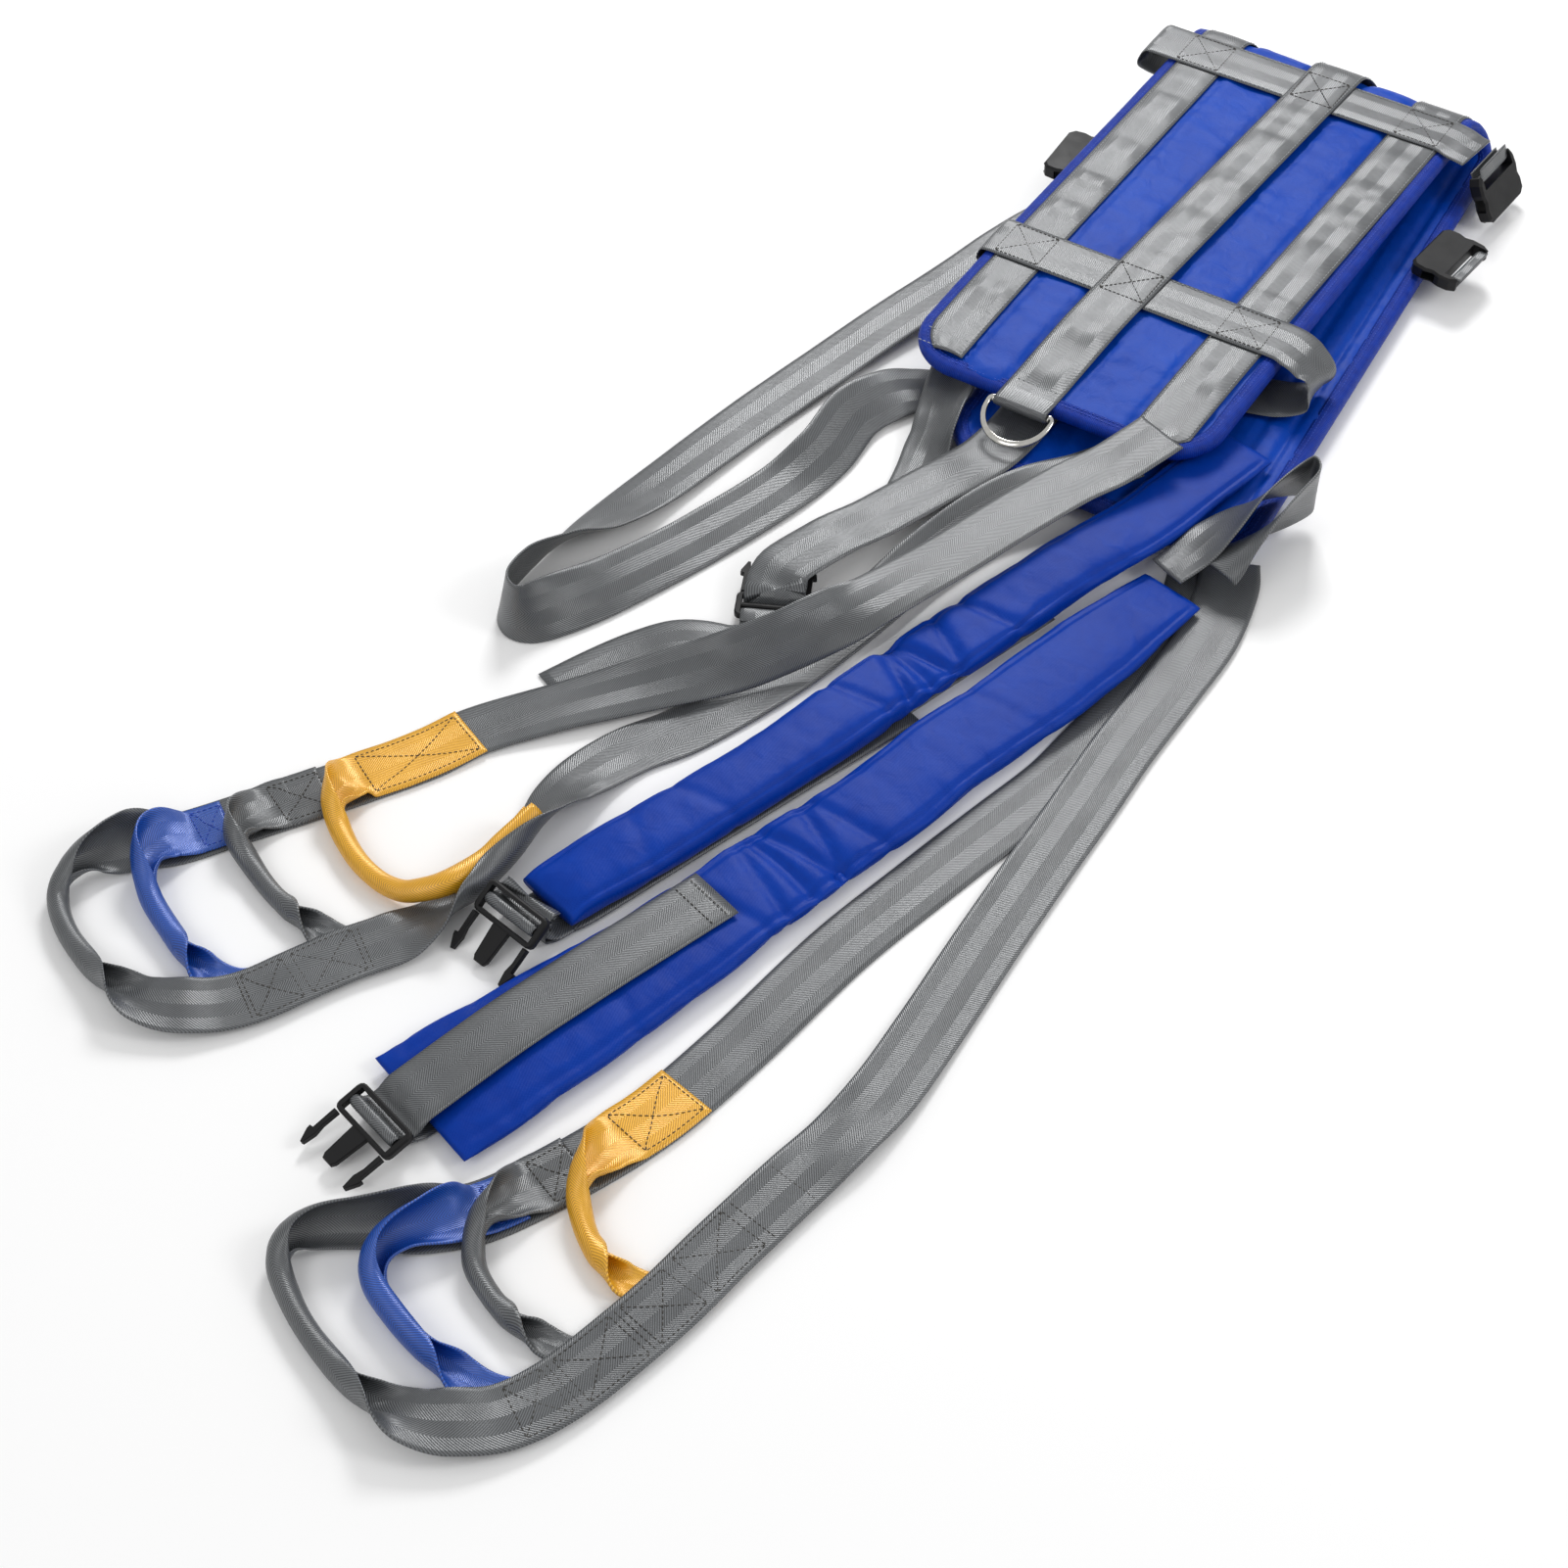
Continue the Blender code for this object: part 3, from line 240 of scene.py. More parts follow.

# %% [markdown]
# ### Nylon cloth
# The belt and the leg pads are covered in coated nylon: a plain weave so fine that it looks smooth, with a soft
# shine on each fold. Small wrinkles come from a stretched noise, and the weave is drawn 1.4 mm apart, coarser
# than the real 0.3 mm, so that a close view still shows cloth. The base colour carries a painted sheen: the
# noise that bumps the wrinkles makes the cloth lighter on each crest, and the weave is lighter where it rises.


# %% Nylon
def nylon_material(name, dark, light, rough=0.42, weave=0.0014, wrinkle=0.5):
    """Plain weave: product of two sines over the floor plane, wrinkles from noise, between two shades, with a
    painted sheen: the base colour is lighter on the wrinkle crests and where the weave rises.
    """
    mat, tree, shader = new_material(name, Roughness=rough, IOR=1.5, Specular_IOR_Level=0.13)
    place = add(tree, "SeparateXYZ", {0: add(tree, "TexCoord").outputs["Object"]}).outputs
    cross = maths(tree, "MULTIPLY", wave(tree, place[0], weave), wave(tree, place[1], weave))
    fold_and_sheen = cloudy(tree, 70.0, 4.0, 0.6)
    # Painted sheen: the weave and the wrinkle noise that bump the cloth also lighten its raised parts in the base
    # colour.
    shade = maths(tree, "MULTIPLY_ADD", cross, 0.10, 0.5)
    shade = swing(tree, swing(tree, shade, fold_and_sheen, 0.6), cloudy(tree, 9.0, 2.0), 0.6)
    blend(tree, shader, shade, linear(dark), linear(light))
    threads = relief(tree, shader, cross, 0.25, 0.0002)
    relief(tree, shader, fold_and_sheen, wrinkle, 0.0016, Normal=threads)
    return mat


NYLON_BLUE = nylon_material("coated_nylon_blue", "#003092", "#0048B6")
NYLON_NAVY = nylon_material("coated_nylon_leg_pads", "#002884", "#003EAA", wrinkle=0.3)

# %% [markdown]
# ### Binding tape and thread
# The belt's edge is bound with ribbed tape: its ribs run across it, 1.6 mm apart, with a painted sheen on each
# rib.
# Bonded thread is smooth and slightly shiny, and each stitch is its own small grain of mesh further down.


# %% Tape and thread
def tape_material(name, dark, light, rib=0.0016):
    """Ribs across the tape: a sine of V that bumps the tape and gives a painted sheen, lighter on each rib top.
    """
    mat, tree, shader = new_material(name, Roughness=0.5, IOR=1.5, Specular_IOR_Level=0.25)
    ribs_and_sheen = wave(tree, strap_uv(tree)[1], rib)
    # Painted sheen: the rib wave that bumps the tape also lightens each rib top in the base colour.
    shade = maths(tree, "ADD", maths(tree, "MULTIPLY", ribs_and_sheen, 0.25), cloudy(tree, 120.0, 3.0))
    blend(tree, shader, shade, linear(dark), linear(light))
    relief(tree, shader, ribs_and_sheen, 0.6, 0.0003)
    return mat


def thread_material(name, code):
    """Bonded thread: one colour, with a little noise in its shade and surface."""
    mat, tree, shader = new_material(name, Roughness=0.42, IOR=1.5)
    fuzz = cloudy(tree, 600.0, 2.0)
    base = linear(code)
    blend(tree, shader, fuzz, (*[c * 0.7 for c in base[:3]], 1.0), base)
    relief(tree, shader, fuzz, 0.3, 0.0001)
    return mat


BINDING_BLUE = tape_material("ribbed_binding_tape", "#001E78", "#0038A8")
THREAD_GREY = thread_material("bonded_thread_grey", "#A9ACAE")
THREAD_DARK = thread_material("bonded_thread_dark", "#3A3630")
THREAD_BLUE = thread_material("bonded_thread_blue", "#1E4AC0")

# %% [markdown]
# ### Acetal and nickel
# The buckles are injection-moulded acetal in black: a fine spark-eroded grain on the outside and a slight polish
# where parts rub. The D-ring is bent steel wire with bright nickel plate.


# %% Acetal and nickel
def acetal_material():
    """Near black plastic whose roughness and surface vary with a fine grain."""
    mat, tree, shader = new_material("moulded_acetal_black", Roughness=0.5, IOR=1.48, Specular_IOR_Level=0.35)
    wear = cloudy(tree, 60.0, 4.0)
    blend(tree, shader, wear, linear("#050506"), linear("#121214"))
    tree.links.new(maths(tree, "MULTIPLY_ADD", wear, 0.25, 0.42), shader.inputs["Roughness"])
    relief(tree, shader, cloudy(tree, 1400.0, 3.0), 0.25, 0.0002)
    return mat


def nickel_material():
    """Plated metal with faint handling marks in its roughness."""
    mat, tree, shader = new_material("nickel_plate", Metallic=1.0)
    marks = cloudy(tree, 220.0, 5.0)
    blend(tree, shader, marks, linear("#C9C7C1"), linear("#E6E4DE"))
    tree.links.new(maths(tree, "MULTIPLY_ADD", marks, 0.18, 0.07), shader.inputs["Roughness"])
    return mat


ACETAL = acetal_material()
NICKEL = nickel_material()

# %% [markdown]
# ## Meshes from grids
# A strap, a pad or a wire is a row of rings, and a ring is a closed line of points. This function joins the
# rings, closes both ends and stores a UV map in metres, so that a woven pattern keeps its real size.


# %% Skin
def unit(v):
    """v / |v| for each row."""
    return v / np.maximum(np.linalg.norm(v, axis=1), 1e-9)[:, None]


def run_length(points):
    """Distance along a line of points, from 0 at the first one."""
    return np.concatenate([[0], np.cumsum(np.linalg.norm(np.diff(points, axis=0), axis=1))])


def millimetres(*rows):
    """Rows x, y, z, roll, width given in millimetres, and the roll in degrees, as rows in metres."""
    return [tuple(round(v * k, 7) for v, k in zip(row, (1e-3, 1e-3, 1e-3, 1, 1e-3))) for row in rows]


def lengths(*rows):
    """Rows given in millimetres as rows in metres."""
    return [tuple(round(v / 1000, 7) for v in row) for row in rows]


def stand_in(obj, node, body="sling"):
    """Lets a piece ride on a body in the place of a CAD node."""
    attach(obj, body)
    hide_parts(node)
    return obj


def skin(name, rings, material, around=None, along=None, closed=False, smooth=True):
    """Closed surface through rings (M, N, 3): quad i, j joins ring i and i + 1 at points j and j + 1.
    `around` gives U at the N + 1 points of a ring and `along` gives V at each ring."""
    rings = np.asarray(rings, float)
    m, n = rings.shape[:2]
    spans = m if closed else m - 1
    i, j = np.meshgrid(np.arange(spans), np.arange(n), indexing="ij")
    i2, j2 = (i + 1) % m, (j + 1) % n
    quads = np.stack([i * n + j, i * n + j2, i2 * n + j2, i2 * n + j], axis=-1).reshape(-1, 4)
    caps = [] if closed else [np.arange(n)[::-1], (m - 1) * n + np.arange(n)]
    mesh = bpy.data.meshes.new(name)
    mesh.from_pydata((rings.reshape(-1, 3) + SHIFT).tolist(), [], quads.tolist() + [c.tolist() for c in caps])
    if around is not None:
        u = np.asarray(around, float)
        v = np.asarray(along, float)
        v = np.append(v, v[-1] + (v[-1] - v[-2])) if closed else v
        corner_u = np.stack([u[j], u[j + 1], u[j + 1], u[j]], axis=-1).reshape(-1)
        corner_v = np.stack([v[i], v[i], v[i + 1], v[i + 1]], axis=-1).reshape(-1)
        ends = [] if closed else [np.column_stack([u[c % n], np.full(n, v[k])]) for c,
                                  k in zip(caps, (0, -1))]
        uv = np.concatenate([np.column_stack([corner_u, corner_v])] + ends)
        mesh.uv_layers.new(name="strap").data.foreach_set("uv", uv.astype(np.float32).ravel())
    mesh.materials.append(material)
    if smooth:
        mesh.shade_smooth()
    obj = bpy.data.objects.new(name, mesh)
    scene.collection.objects.link(obj)
    return outward(obj)


def outward(obj):
    """Turns the faces outwards when the signed volume, a sum of corner products, is negative."""
    mesh = obj.data
    mesh.calc_loop_triangles()
    points = np.empty(len(mesh.vertices) * 3, np.float32)
    mesh.vertices.foreach_get("co", points)
    tris = np.empty(len(mesh.loop_triangles) * 3, np.int32)
    mesh.loop_triangles.foreach_get("vertices", tris)
    p = points.reshape(-1, 3)[tris.reshape(-1, 3)].astype(float)
    if np.einsum("ij,ij->i", p[:, 0], np.cross(p[:, 1], p[:, 2])).sum() < 0:
        mesh.flip_normals()
    return obj


def noise(x, seed, size):
    """Smooth noise from -1 to 1: random values `size` apart, joined by 3t^2 - 2t^3."""
    values = np.random.default_rng(seed).uniform(-1, 1, 4096)
    place = np.asarray(x, float) / size + 1000.0
    i = np.floor(place).astype(int)
    t = place - i
    t = t * t * (3 - 2 * t)
    return values[i % 4096] * (1 - t) + values[(i + 1) % 4096] * t


def noise2(x, y, seed, size_x, size_y):
    """Smooth noise over a plane, from -1 to 1."""
    values = np.random.default_rng(seed).uniform(-1, 1, (256, 256))
    px, py = np.asarray(x, float) / size_x + 100.0, np.asarray(y, float) / size_y + 100.0
    i, j = np.floor(px).astype(int), np.floor(py).astype(int)
    a, b = px - i, py - j
    a, b = a * a * (3 - 2 * a), b * b * (3 - 2 * b)
    i, j, i2, j2 = i % 256, j % 256, (i + 1) % 256, (j + 1) % 256
    return ((values[i, j] * (1 - a) + values[i2, j] * a) * (1 - b)
            + (values[i, j2] * (1 - a) + values[i2, j2] * a) * b)


# %% [markdown]
# ## How a strap lies
# A strap's course is a list of rows: x, y, z, the roll that lifts its left edge in degrees, and its width there.
# Between the rows a cubic curve keeps the bends even. Where the strap is narrow and rolled over, the real one
# curls into a loose cord, so its cross-section is an arc that winds up to one and a half turns.


# %% Courses
def course(rows, at):
    """Cubic through the rows at these places, counted in rows. X and Y take even slopes, and the other
    columns take the harmonic mean of the steps on both sides, so that they never swing past a row."""
    rows = np.asarray(rows, float)
    step = np.diff(rows, axis=0)
    before, after = step[:-1], step[1:]
    same = before * after > 0
    calm = np.where(same, 2 * before * after / np.where(same, before + after, 1), 0)
    calm[:, :2] = ((before + after) / 2)[:, :2]
    slope = np.vstack([step[:1], calm, step[-1:]])
    at = np.asarray(at, float)
    i = np.clip(at.astype(int), 0, len(rows) - 2)
    t = (at - i)[:, None]
    return ((2 * t**3 - 3 * t**2 + 1) * rows[i] + (t**3 - 2 * t**2 + t) * slope[i]
            + (3 * t**2 - 2 * t**3) * rows[i + 1] + (t**3 - t**2) * slope[i + 1])


def full_rows(rows):
    """Rows with all five columns: no roll and the full width where a row leaves them out."""
    return np.array([(*r[:3], r[3] if len(r) > 3 else 0.0, r[4] if len(r) > 4 else WEB) for r in rows])


def lie(rows, at):
    """Middle, across, normal, half width, half thickness and roll of the strip at these places."""
    rows = full_rows(rows)
    points = course(rows, at)
    half = points[:, 4] / 2
    thick = WEB_T / 2 * (1 + 1.2 * np.clip(1 - 2 * half / WEB, 0, 1))
    roll = np.radians(points[:, 3])
    low = half * abs(np.sin(roll)) + thick * abs(np.cos(roll)) + 0.0002
    points[:, 2] = np.maximum(points[:, 2], low)
    at = np.asarray(at, float)
    tangent = unit(course(rows, at + 0.03)[:, :3] - course(rows, at - 0.03)[:, :3])
    flat = unit(tangent[:, :2])
    left = np.column_stack([-flat[:, 1], flat[:, 0], np.zeros(len(flat))])
    up = np.cross(tangent, left)
    across = np.cos(roll)[:, None] * left + np.sin(roll)[:, None] * up
    return points[:, :3], across, np.cross(tangent, across), half, thick, points[:, 3]


def beside(rows, start, stop, side, width=WEB, count=4, lift=2 * GAP):
    """Rows of a strip that lies on a stretch of another one: over it for side 1, under it for -1."""
    at = np.linspace(start, stop, count)
    mid, _, normal, _, thick, roll = lie(rows, at)
    mid = mid + normal * side * (thick + WEB_T / 2 * (1 + 1.2 * (1 - width / WEB)) + lift)[:, None]
    return [(*m, r, width) for m, r in zip(mid, roll)]


def even_places(rows, step):
    """Places along the rows that lie `step` metres apart, and their distances from the start."""
    fine = np.linspace(0, len(rows) - 1, 40 * (len(rows) - 1) + 1)
    run = run_length(course(full_rows(rows), fine)[:, :3])
    along = np.linspace(0, run[-1], max(int(run[-1] / step), 4) + 1)
    return np.interp(along, run, fine), along


def blur(values, reach):
    """Running mean over `reach` points each side."""
    padded = np.pad(values, reach, mode="edge")
    return np.convolve(padded, np.ones(2 * reach + 1) / (2 * reach + 1), mode="valid")


# %% [markdown]
# ### The cross-section
# The section is a line whose direction turns at a steady rate from one edge to the other. Without any turn it
# is flat. With 500 degrees it is a roll of about 11 mm, and one edge is wound a little tighter so that it
# tucks inside. Offsetting the line by half the thickness on both sides gives the ring, with rounded selvages.

# %% Section
ACROSS = 15
CURL_WIDTHS, CURL_TURNS = (0.017, 0.030, 0.040, 0.046, 0.050), (500, 250, 110, 45, 0)


def section(width, thick, roll, cup=0.0):
    """Local x, z of the ring at each station, shape (M, 2 * ACROSS + 2), and U at its points."""
    width, thick = np.asarray(width, float), np.asarray(thick, float)
    t = np.clip(abs(roll) / 40, 0, 1)
    curl = blur(t * t * (3 - 2 * t), 4)
    cloth = width + (WEB - width) * curl
    turn = blur(np.radians(curl * np.interp(width, CURL_WIDTHS, CURL_TURNS) + cup), 6)
    s = np.linspace(-1, 1, ACROSS)
    tight = 0.35 * np.clip(turn / 8.0, 0, 1)[:, None]
    angle = turn[:, None] / 2 * (s + tight * s**2 / 2)
    ds = s[1] - s[0]
    x = np.cumsum((np.cos(angle[:, 1:]) + np.cos(angle[:, :-1])) / 2 * ds, axis=1)
    z = np.cumsum((np.sin(angle[:, 1:]) + np.sin(angle[:, :-1])) / 2 * ds, axis=1)
    x = np.pad(x, ((0, 0), (1, 0))) * cloth[:, None] / 2
    z = np.pad(z, ((0, 0), (1, 0))) * cloth[:, None] / 2
    x -= (x.max(axis=1) + x.min(axis=1))[:, None] / 2
    z -= (z.max(axis=1) + z.min(axis=1))[:, None] / 2
    half = (thick * (1 - curl) + WEB_T / 2 * curl)[:, None]
    nx, nz = -np.sin(angle) * half, np.cos(angle) * half
    tip = half[:, 0] * 0.7
    start = (x[:, 0] - np.cos(angle[:, 0]) * tip, z[:, 0] - np.sin(angle[:, 0]) * tip)
    stop = (x[:, -1] + np.cos(angle[:, -1]) * tip, z[:, -1] + np.sin(angle[:, -1]) * tip)
    ring_x = np.column_stack([x - nx, stop[0], (x + nx)[:, ::-1], start[0]])
    ring_z = np.column_stack([z - nz, stop[1], (z + nz)[:, ::-1], start[1]])
    u = np.concatenate([(s + 1) / 2 * WEB, [WEB], (s[::-1] + 1) / 2 * WEB, [0.0], [0.0]])
    return ring_x, ring_z, u


def strap(name, rows, material, body="sling", node=None, seed=1, ripple=0.0, step=0.003, cup=6.0):
    """Webbing along the rows, riding on a body and standing for a node. `ripple` waves it off its bed."""
    at, along = even_places(rows, step)
    mid, across, normal, half, thick, roll = lie(rows, at)
    width = 2 * half
    lean = cup * noise(along, seed, 0.05)
    x, z, u = section(width, thick, roll, lean)
    if ripple:
        fade = np.sin(np.pi * np.clip(along / along[-1], 0, 1)) ** 0.3
        z = z + (ripple * (0.5 + 0.5 * noise(along, seed + 7, 0.032)) * fade)[:, None]
    rings = mid[:, None] + across[:, None] * x[..., None] + normal[:, None] * z[..., None]
    short = np.maximum(FLOOR_GAP - rings[..., 2].min(axis=1), 0)
    rings[..., 2] += np.maximum(short, blur(short, 6))[:, None]
    obj = skin(name, rings, material, u, along)
    if body:
        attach(obj, body)
    if node:
        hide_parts(node)
    return obj


# %% [markdown]
# ## The routes of the free straps
# These rows are the laid-out courses. Each hanging strap runs out, turns round in its outer loop and comes back
# under the belt. Its rungs start sewn on top of the outgoing run and end at the returning one, most of them
# under it.

# %% Routes
LOOP_LEFT = millimetres(
    (-126, 738, 24), (-150, 700, 23.5), (-168, 645, 21.5), (-183, 590, 17), (-207, 515, 10), (-240, 380, 4),
    (-265, 240, 5, 5), (-278, 160, 12, 22), (-287, 110, 22, 55), (-295, 70, 25, 74), (-290, 36, 25, 78),
    (-270, 24, 24, 74), (-252, 45, 21, 50), (-226, 115, 11, 20), (-200, 190, 8, 14), (-177, 270, 8, 12),
    (-166, 330, 13, 24), (-168, 385, 16, 26), (-156, 425, 13, 18), (-140, 450, 7, 6), (-124, 466, 2.8),
    (-106, 478, 2.8))
STRAP_SHORT = millimetres(
    (-122, 478, 23, 0, 40), (-112, 448, 23.5, 10, 42), (-104, 422, 23, 25, 42), (-98, 400, 18, 28, 40),
    (-94, 378, 7.5, 8, 40), (-88, 355, 3, 0, 42), (-82, 330, 2.5, 0, 44))
HANG_LEFT = millimetres(
    (84, 462, 53.5), (76, 440, 51), (62, 405, 47), (45, 370, 46), (22, 305, 45), (0, 240, 43),
    (-25, 178, 40, -6), (-45, 140, 36, -35), (-65, 108, 30, -50), (-88, 78, 24, -42), (-115, 50, 18, -22),
    (-155, 8, 12, -8), (-195, -36, 7), (-232, -82, 3), (-252, -125, 1.5), (-276, -165, 1.5),
    (-303, -208, 1.5), (-334, -255, 1.5), (-357, -290, 1.8, -2), (-380, -320, 12, -35, 44),
    (-396, -350, 20, -62, 34), (-398, -378, 14, -66, 22), (-388, -396, 10, -66, 18),
    (-362, -414, 10, -62, 18), (-332, -425, 10, -54, 22), (-302, -430, 10, -36, 34),
    (-276, -430, 10.5, -10, 46), (-250, -420, 10.5), (-228, -402, 7.2), (-212, -380, 6.2),
    (-198, -352, 6.2), (-180, -318, 6.2), (-160, -288, 6.8), (-144, -256, 10, -25, 44),
    (-134, -226, 15, -60, 34), (-132, -200, 16, -74, 32), (-130, -170, 17, -62, 36),
    (-131, -135, 16, -38, 46), (-133, -105, 11, -16), (-130, -72, 5, -4), (-118, -35, 2.5), (-98, 0, 2),
    (-80, 45, 2.5), (-62, 100, 3), (-52, 140, 3.6), (-40, 195, 7), (-28, 260, 12, 10), (-8, 325, 19, 22),
    (14, 372, 23.5, 16), (40, 412, 23.5, 4), (60, 450, 22.2))
RUNG_L_YELLOW = beside(HANG_LEFT, 13.1, 15.1, 1) + millimetres(
    (-281, -186, 13, -20, 36), (-275, -207, 16, -46, 28), (-254, -227, 10, -60, 19),
    (-228, -242, 10, -60, 18), (-202, -250, 10, -55, 18), (-180, -251, 12, -45, 20),
    (-162, -244, 18, -52, 22), (-147.5, -230, 22, -66, 24)) + beside(HANG_LEFT, 35.0, 36.8, 1, 0.028,
                                                                     lift=0.0034)
RUNG_L_GREY = beside(HANG_LEFT, 15.68, 16.45, 1) + millimetres(
    (-323, -255, 13, -20, 34), (-316, -274, 15, -46, 26), (-288, -290, 9, -60, 18),
    (-256, -303, 9, -58, 17), (-229, -308, 6, -28, 20), (-207, -309, 2.9, 0, 26), (-187, -305, 2.9, 0, 26),
    (-170, -294, 2.9, 0, 26))
RUNG_L_BLUE = beside(HANG_LEFT, 17.12, 17.75, 1, 0.044) + millimetres(
    (-362, -304, 16, -24, 40), (-359, -328, 20, -46, 32), (-333, -354, 13, -58, 22),
    (-302, -370, 10, -58, 20), (-272, -381, 6, -28, 23), (-252, -384, 3.4, 0, 26), (-229, -379, 3.4, 0, 30),
    (-210, -362, 3.4, 0, 34), (-197, -338, 3.4, 0, 34))
HANG_RIGHT = millimetres(
    (158, 400, 1.2), (172, 360, 1.2), (186, 300, 1.2), (190, 230, 1.2), (182, 160, 1.2), (176, 110, 1.2),
    (160, 45, 1.2), (142, -30, 1.2), (122, -120, 1.2), (108, -225, 1.5), (96, -295, 1.5), (85, -335, 1.5),
    (71, -372, 1.5), (54, -410, 1.5), (34, -446, 1.8, -2), (8, -477, 12, -30, 44), (-22, -499, 17, -58, 38),
    (-48, -520, 18, -64, 36), (-58, -540, 16, -66, 30), (-50, -559, 12, -66, 22), (-28, -576, 10, -64, 18),
    (0, -590, 10, -60, 18), (30, -600, 10, -54, 22), (62, -606, 12, -42, 32), (92, -604, 12.5, -10, 44),
    (118, -592, 11.8), (142, -570, 7.6), (160, -535, 6.2), (173, -490, 6.2), (184, -440, 6.2),
    (192, -385, 6.2), (204, -315, 6.2), (213, -265, 7, -6), (218, -215, 6), (216, -145, 4), (212, -60, 3.4),
    (209.5, 25, 3.4), (208, 100, 3.4), (206, 170, 3.4), (207, 240, 3.4), (207, 310, 3.4), (196, 370, 3.4),
    (183, 400, 3.3))
RUNG_R_YELLOW = beside(HANG_RIGHT, 9.85, 11.2, 1) + millimetres(
    (80, -365, 12.5, -20, 36), (81, -388, 18, -44, 28), (90, -409, 13, -58, 20), (110, -428, 10, -60, 17),
    (132, -438, 7, -34, 19), (153, -441, 3.4, 0, 24)) + beside(HANG_RIGHT, 29.2, 30.4, -1, 0.028, 3)
RUNG_R_GREY = beside(HANG_RIGHT, 12.15, 12.95, 1) + millimetres(
    (48, -430, 12.5, -20, 34), (44, -456, 18, -46, 26), (56, -485, 11, -58, 18), (82, -501, 9, -60, 17),
    (108, -508, 7, -34, 18), (134, -508, 3.4, 0, 22), (154, -504, 3.4, 0, 22), (168, -493, 3.4, 0, 24))
RUNG_R_BLUE = beside(HANG_RIGHT, 13.35, 13.9, 1, 0.042) + millimetres(
    (26, -463, 16, -22, 38), (6, -494, 22, -46, 32), (0, -516, 18, -56, 30), (11, -534, 13, -56, 26),
    (38, -547, 12, -55, 25), (68, -556, 10, -45, 25), (96, -560, 5.5, -16, 27), (116, -560, 3.2, 0, 29),
    (135, -555, 3.4, 0, 30), (151, -543, 3.4, 0, 32))
LOOP_RIGHT = millimetres(
    (150, 348, 19, 0, 34), (160, 372, 24, -8, 38), (170, 400, 34.6, -28, 46), (182, 438, 43, -52, 48),
    (197, 471, 45.5, -70), (211, 486, 46, -84), (221, 472, 46, -92), (215, 446, 44, -102),
    (202, 412, 38, -125, 48), (190, 385, 30.6, -152, 44), (184, 366, 23.6, -172, 40))


# %% [markdown]
# ## Laying the free straps
# Each strap is a sheet of webbing that lies on the floor or on another strap. Its cut length is the length of its
# course.


def laid(name, rows, material, seed, **how):
    """A strap along its rows, in the place of the CAD node of the same name."""
    obj = strap(name + "_web", rows, material, node=name, seed=seed, **how)
    float(even_places(rows, 0.003)[1][-1])
    return obj


laid("strap_loop_left", LOOP_LEFT, WEBBING_GREY, 3, ripple=0.0006)
laid("strap_short_left", STRAP_SHORT, WEBBING_GREY, 5)
laid("strap_hanging_left", HANG_LEFT, WEBBING_GREY, 7, ripple=0.0004)
laid("strap_hanging_right", HANG_RIGHT, WEBBING_GREY, 9, ripple=0.0004)
laid("strap_loop_right", LOOP_RIGHT, WEBBING_GREY, 11)
laid("rung_left_yellow", RUNG_L_YELLOW, WEBBING_YELLOW, 13, cup=2.0)
laid("rung_left_grey", RUNG_L_GREY, WEBBING_GREY, 15, cup=2.0)
laid("rung_left_blue", RUNG_L_BLUE, WEBBING_BLUE, 17, cup=2.0)
laid("rung_right_yellow", RUNG_R_YELLOW, WEBBING_YELLOW, 19, cup=2.0)
laid("rung_right_grey", RUNG_R_GREY, WEBBING_GREY, 21, cup=2.0)
laid("rung_right_blue", RUNG_R_BLUE, WEBBING_BLUE, 23, cup=2.0)

# %% [markdown]
# ## The folded belt
# A point of the belt has three numbers: u across it, s along it from the upper layer's open end, and h out of its
# outer face. One function folds them into the layout: along the upper layer, round a half circle at the fold and
# back along the lower layer.

# %% Folding
TOP_LEN = FOLD_Y - TOP_END_Y
ARC_R = (TOP_Z - LOW_Z) / 2
ARC_LEN = math.pi * ARC_R
PANEL_LEN = TOP_LEN + ARC_LEN + FOLD_Y - LOW_END_Y


def mid_line(s):
    """Height line of the folded belt: (y, z) at the distance s from the upper layer's free end."""
    s = np.asarray(s, float)
    sag = np.maximum(0.0, 0.62 - (TOP_END_Y + s)) / 0.17
    a = np.clip((s - TOP_LEN) / ARC_R, 0, math.pi)
    bend_y, bend_z = FOLD_Y + ARC_R * np.sin(a), LOW_Z + ARC_R + ARC_R * np.cos(a)
    low_y = FOLD_Y - (s - TOP_LEN - ARC_LEN)
    y = np.where(s < TOP_LEN, TOP_END_Y + s, np.where(s < TOP_LEN + ARC_LEN, bend_y, low_y))
    z = np.where(s < TOP_LEN, TOP_Z - 0.006 * sag**2, np.where(s < TOP_LEN + ARC_LEN, bend_z, LOW_Z))
    return y, z


def skew(s):
    """Sideways place of the belt's middle: the lower layer lies a little to the right."""
    s = np.asarray(s, float)
    t = np.clip((s - TOP_LEN) / ARC_LEN, 0, 1)
    top = -0.0125 - np.maximum(TOP_LEN - s, 0) * 0.010
    return top + 0.0245 * (3 * t**2 - 2 * t**3) + np.maximum(s - TOP_LEN - ARC_LEN, 0) * 0.068


def on_panel(u, s, h):
    """Layout points at u across, s along and h out of the outer face."""
    u, s, h = np.broadcast_arrays(np.asarray(u, float), np.asarray(s, float), np.asarray(h, float))
    y, z = mid_line(s)
    y1, z1 = mid_line(s + 0.0004)
    y0, z0 = mid_line(s - 0.0004)
    n = np.hypot(y1 - y0, z1 - z0)
    return np.stack([skew(s) + u, y - (z1 - z0) / n * h, z + (y1 - y0) / n * h], axis=-1)


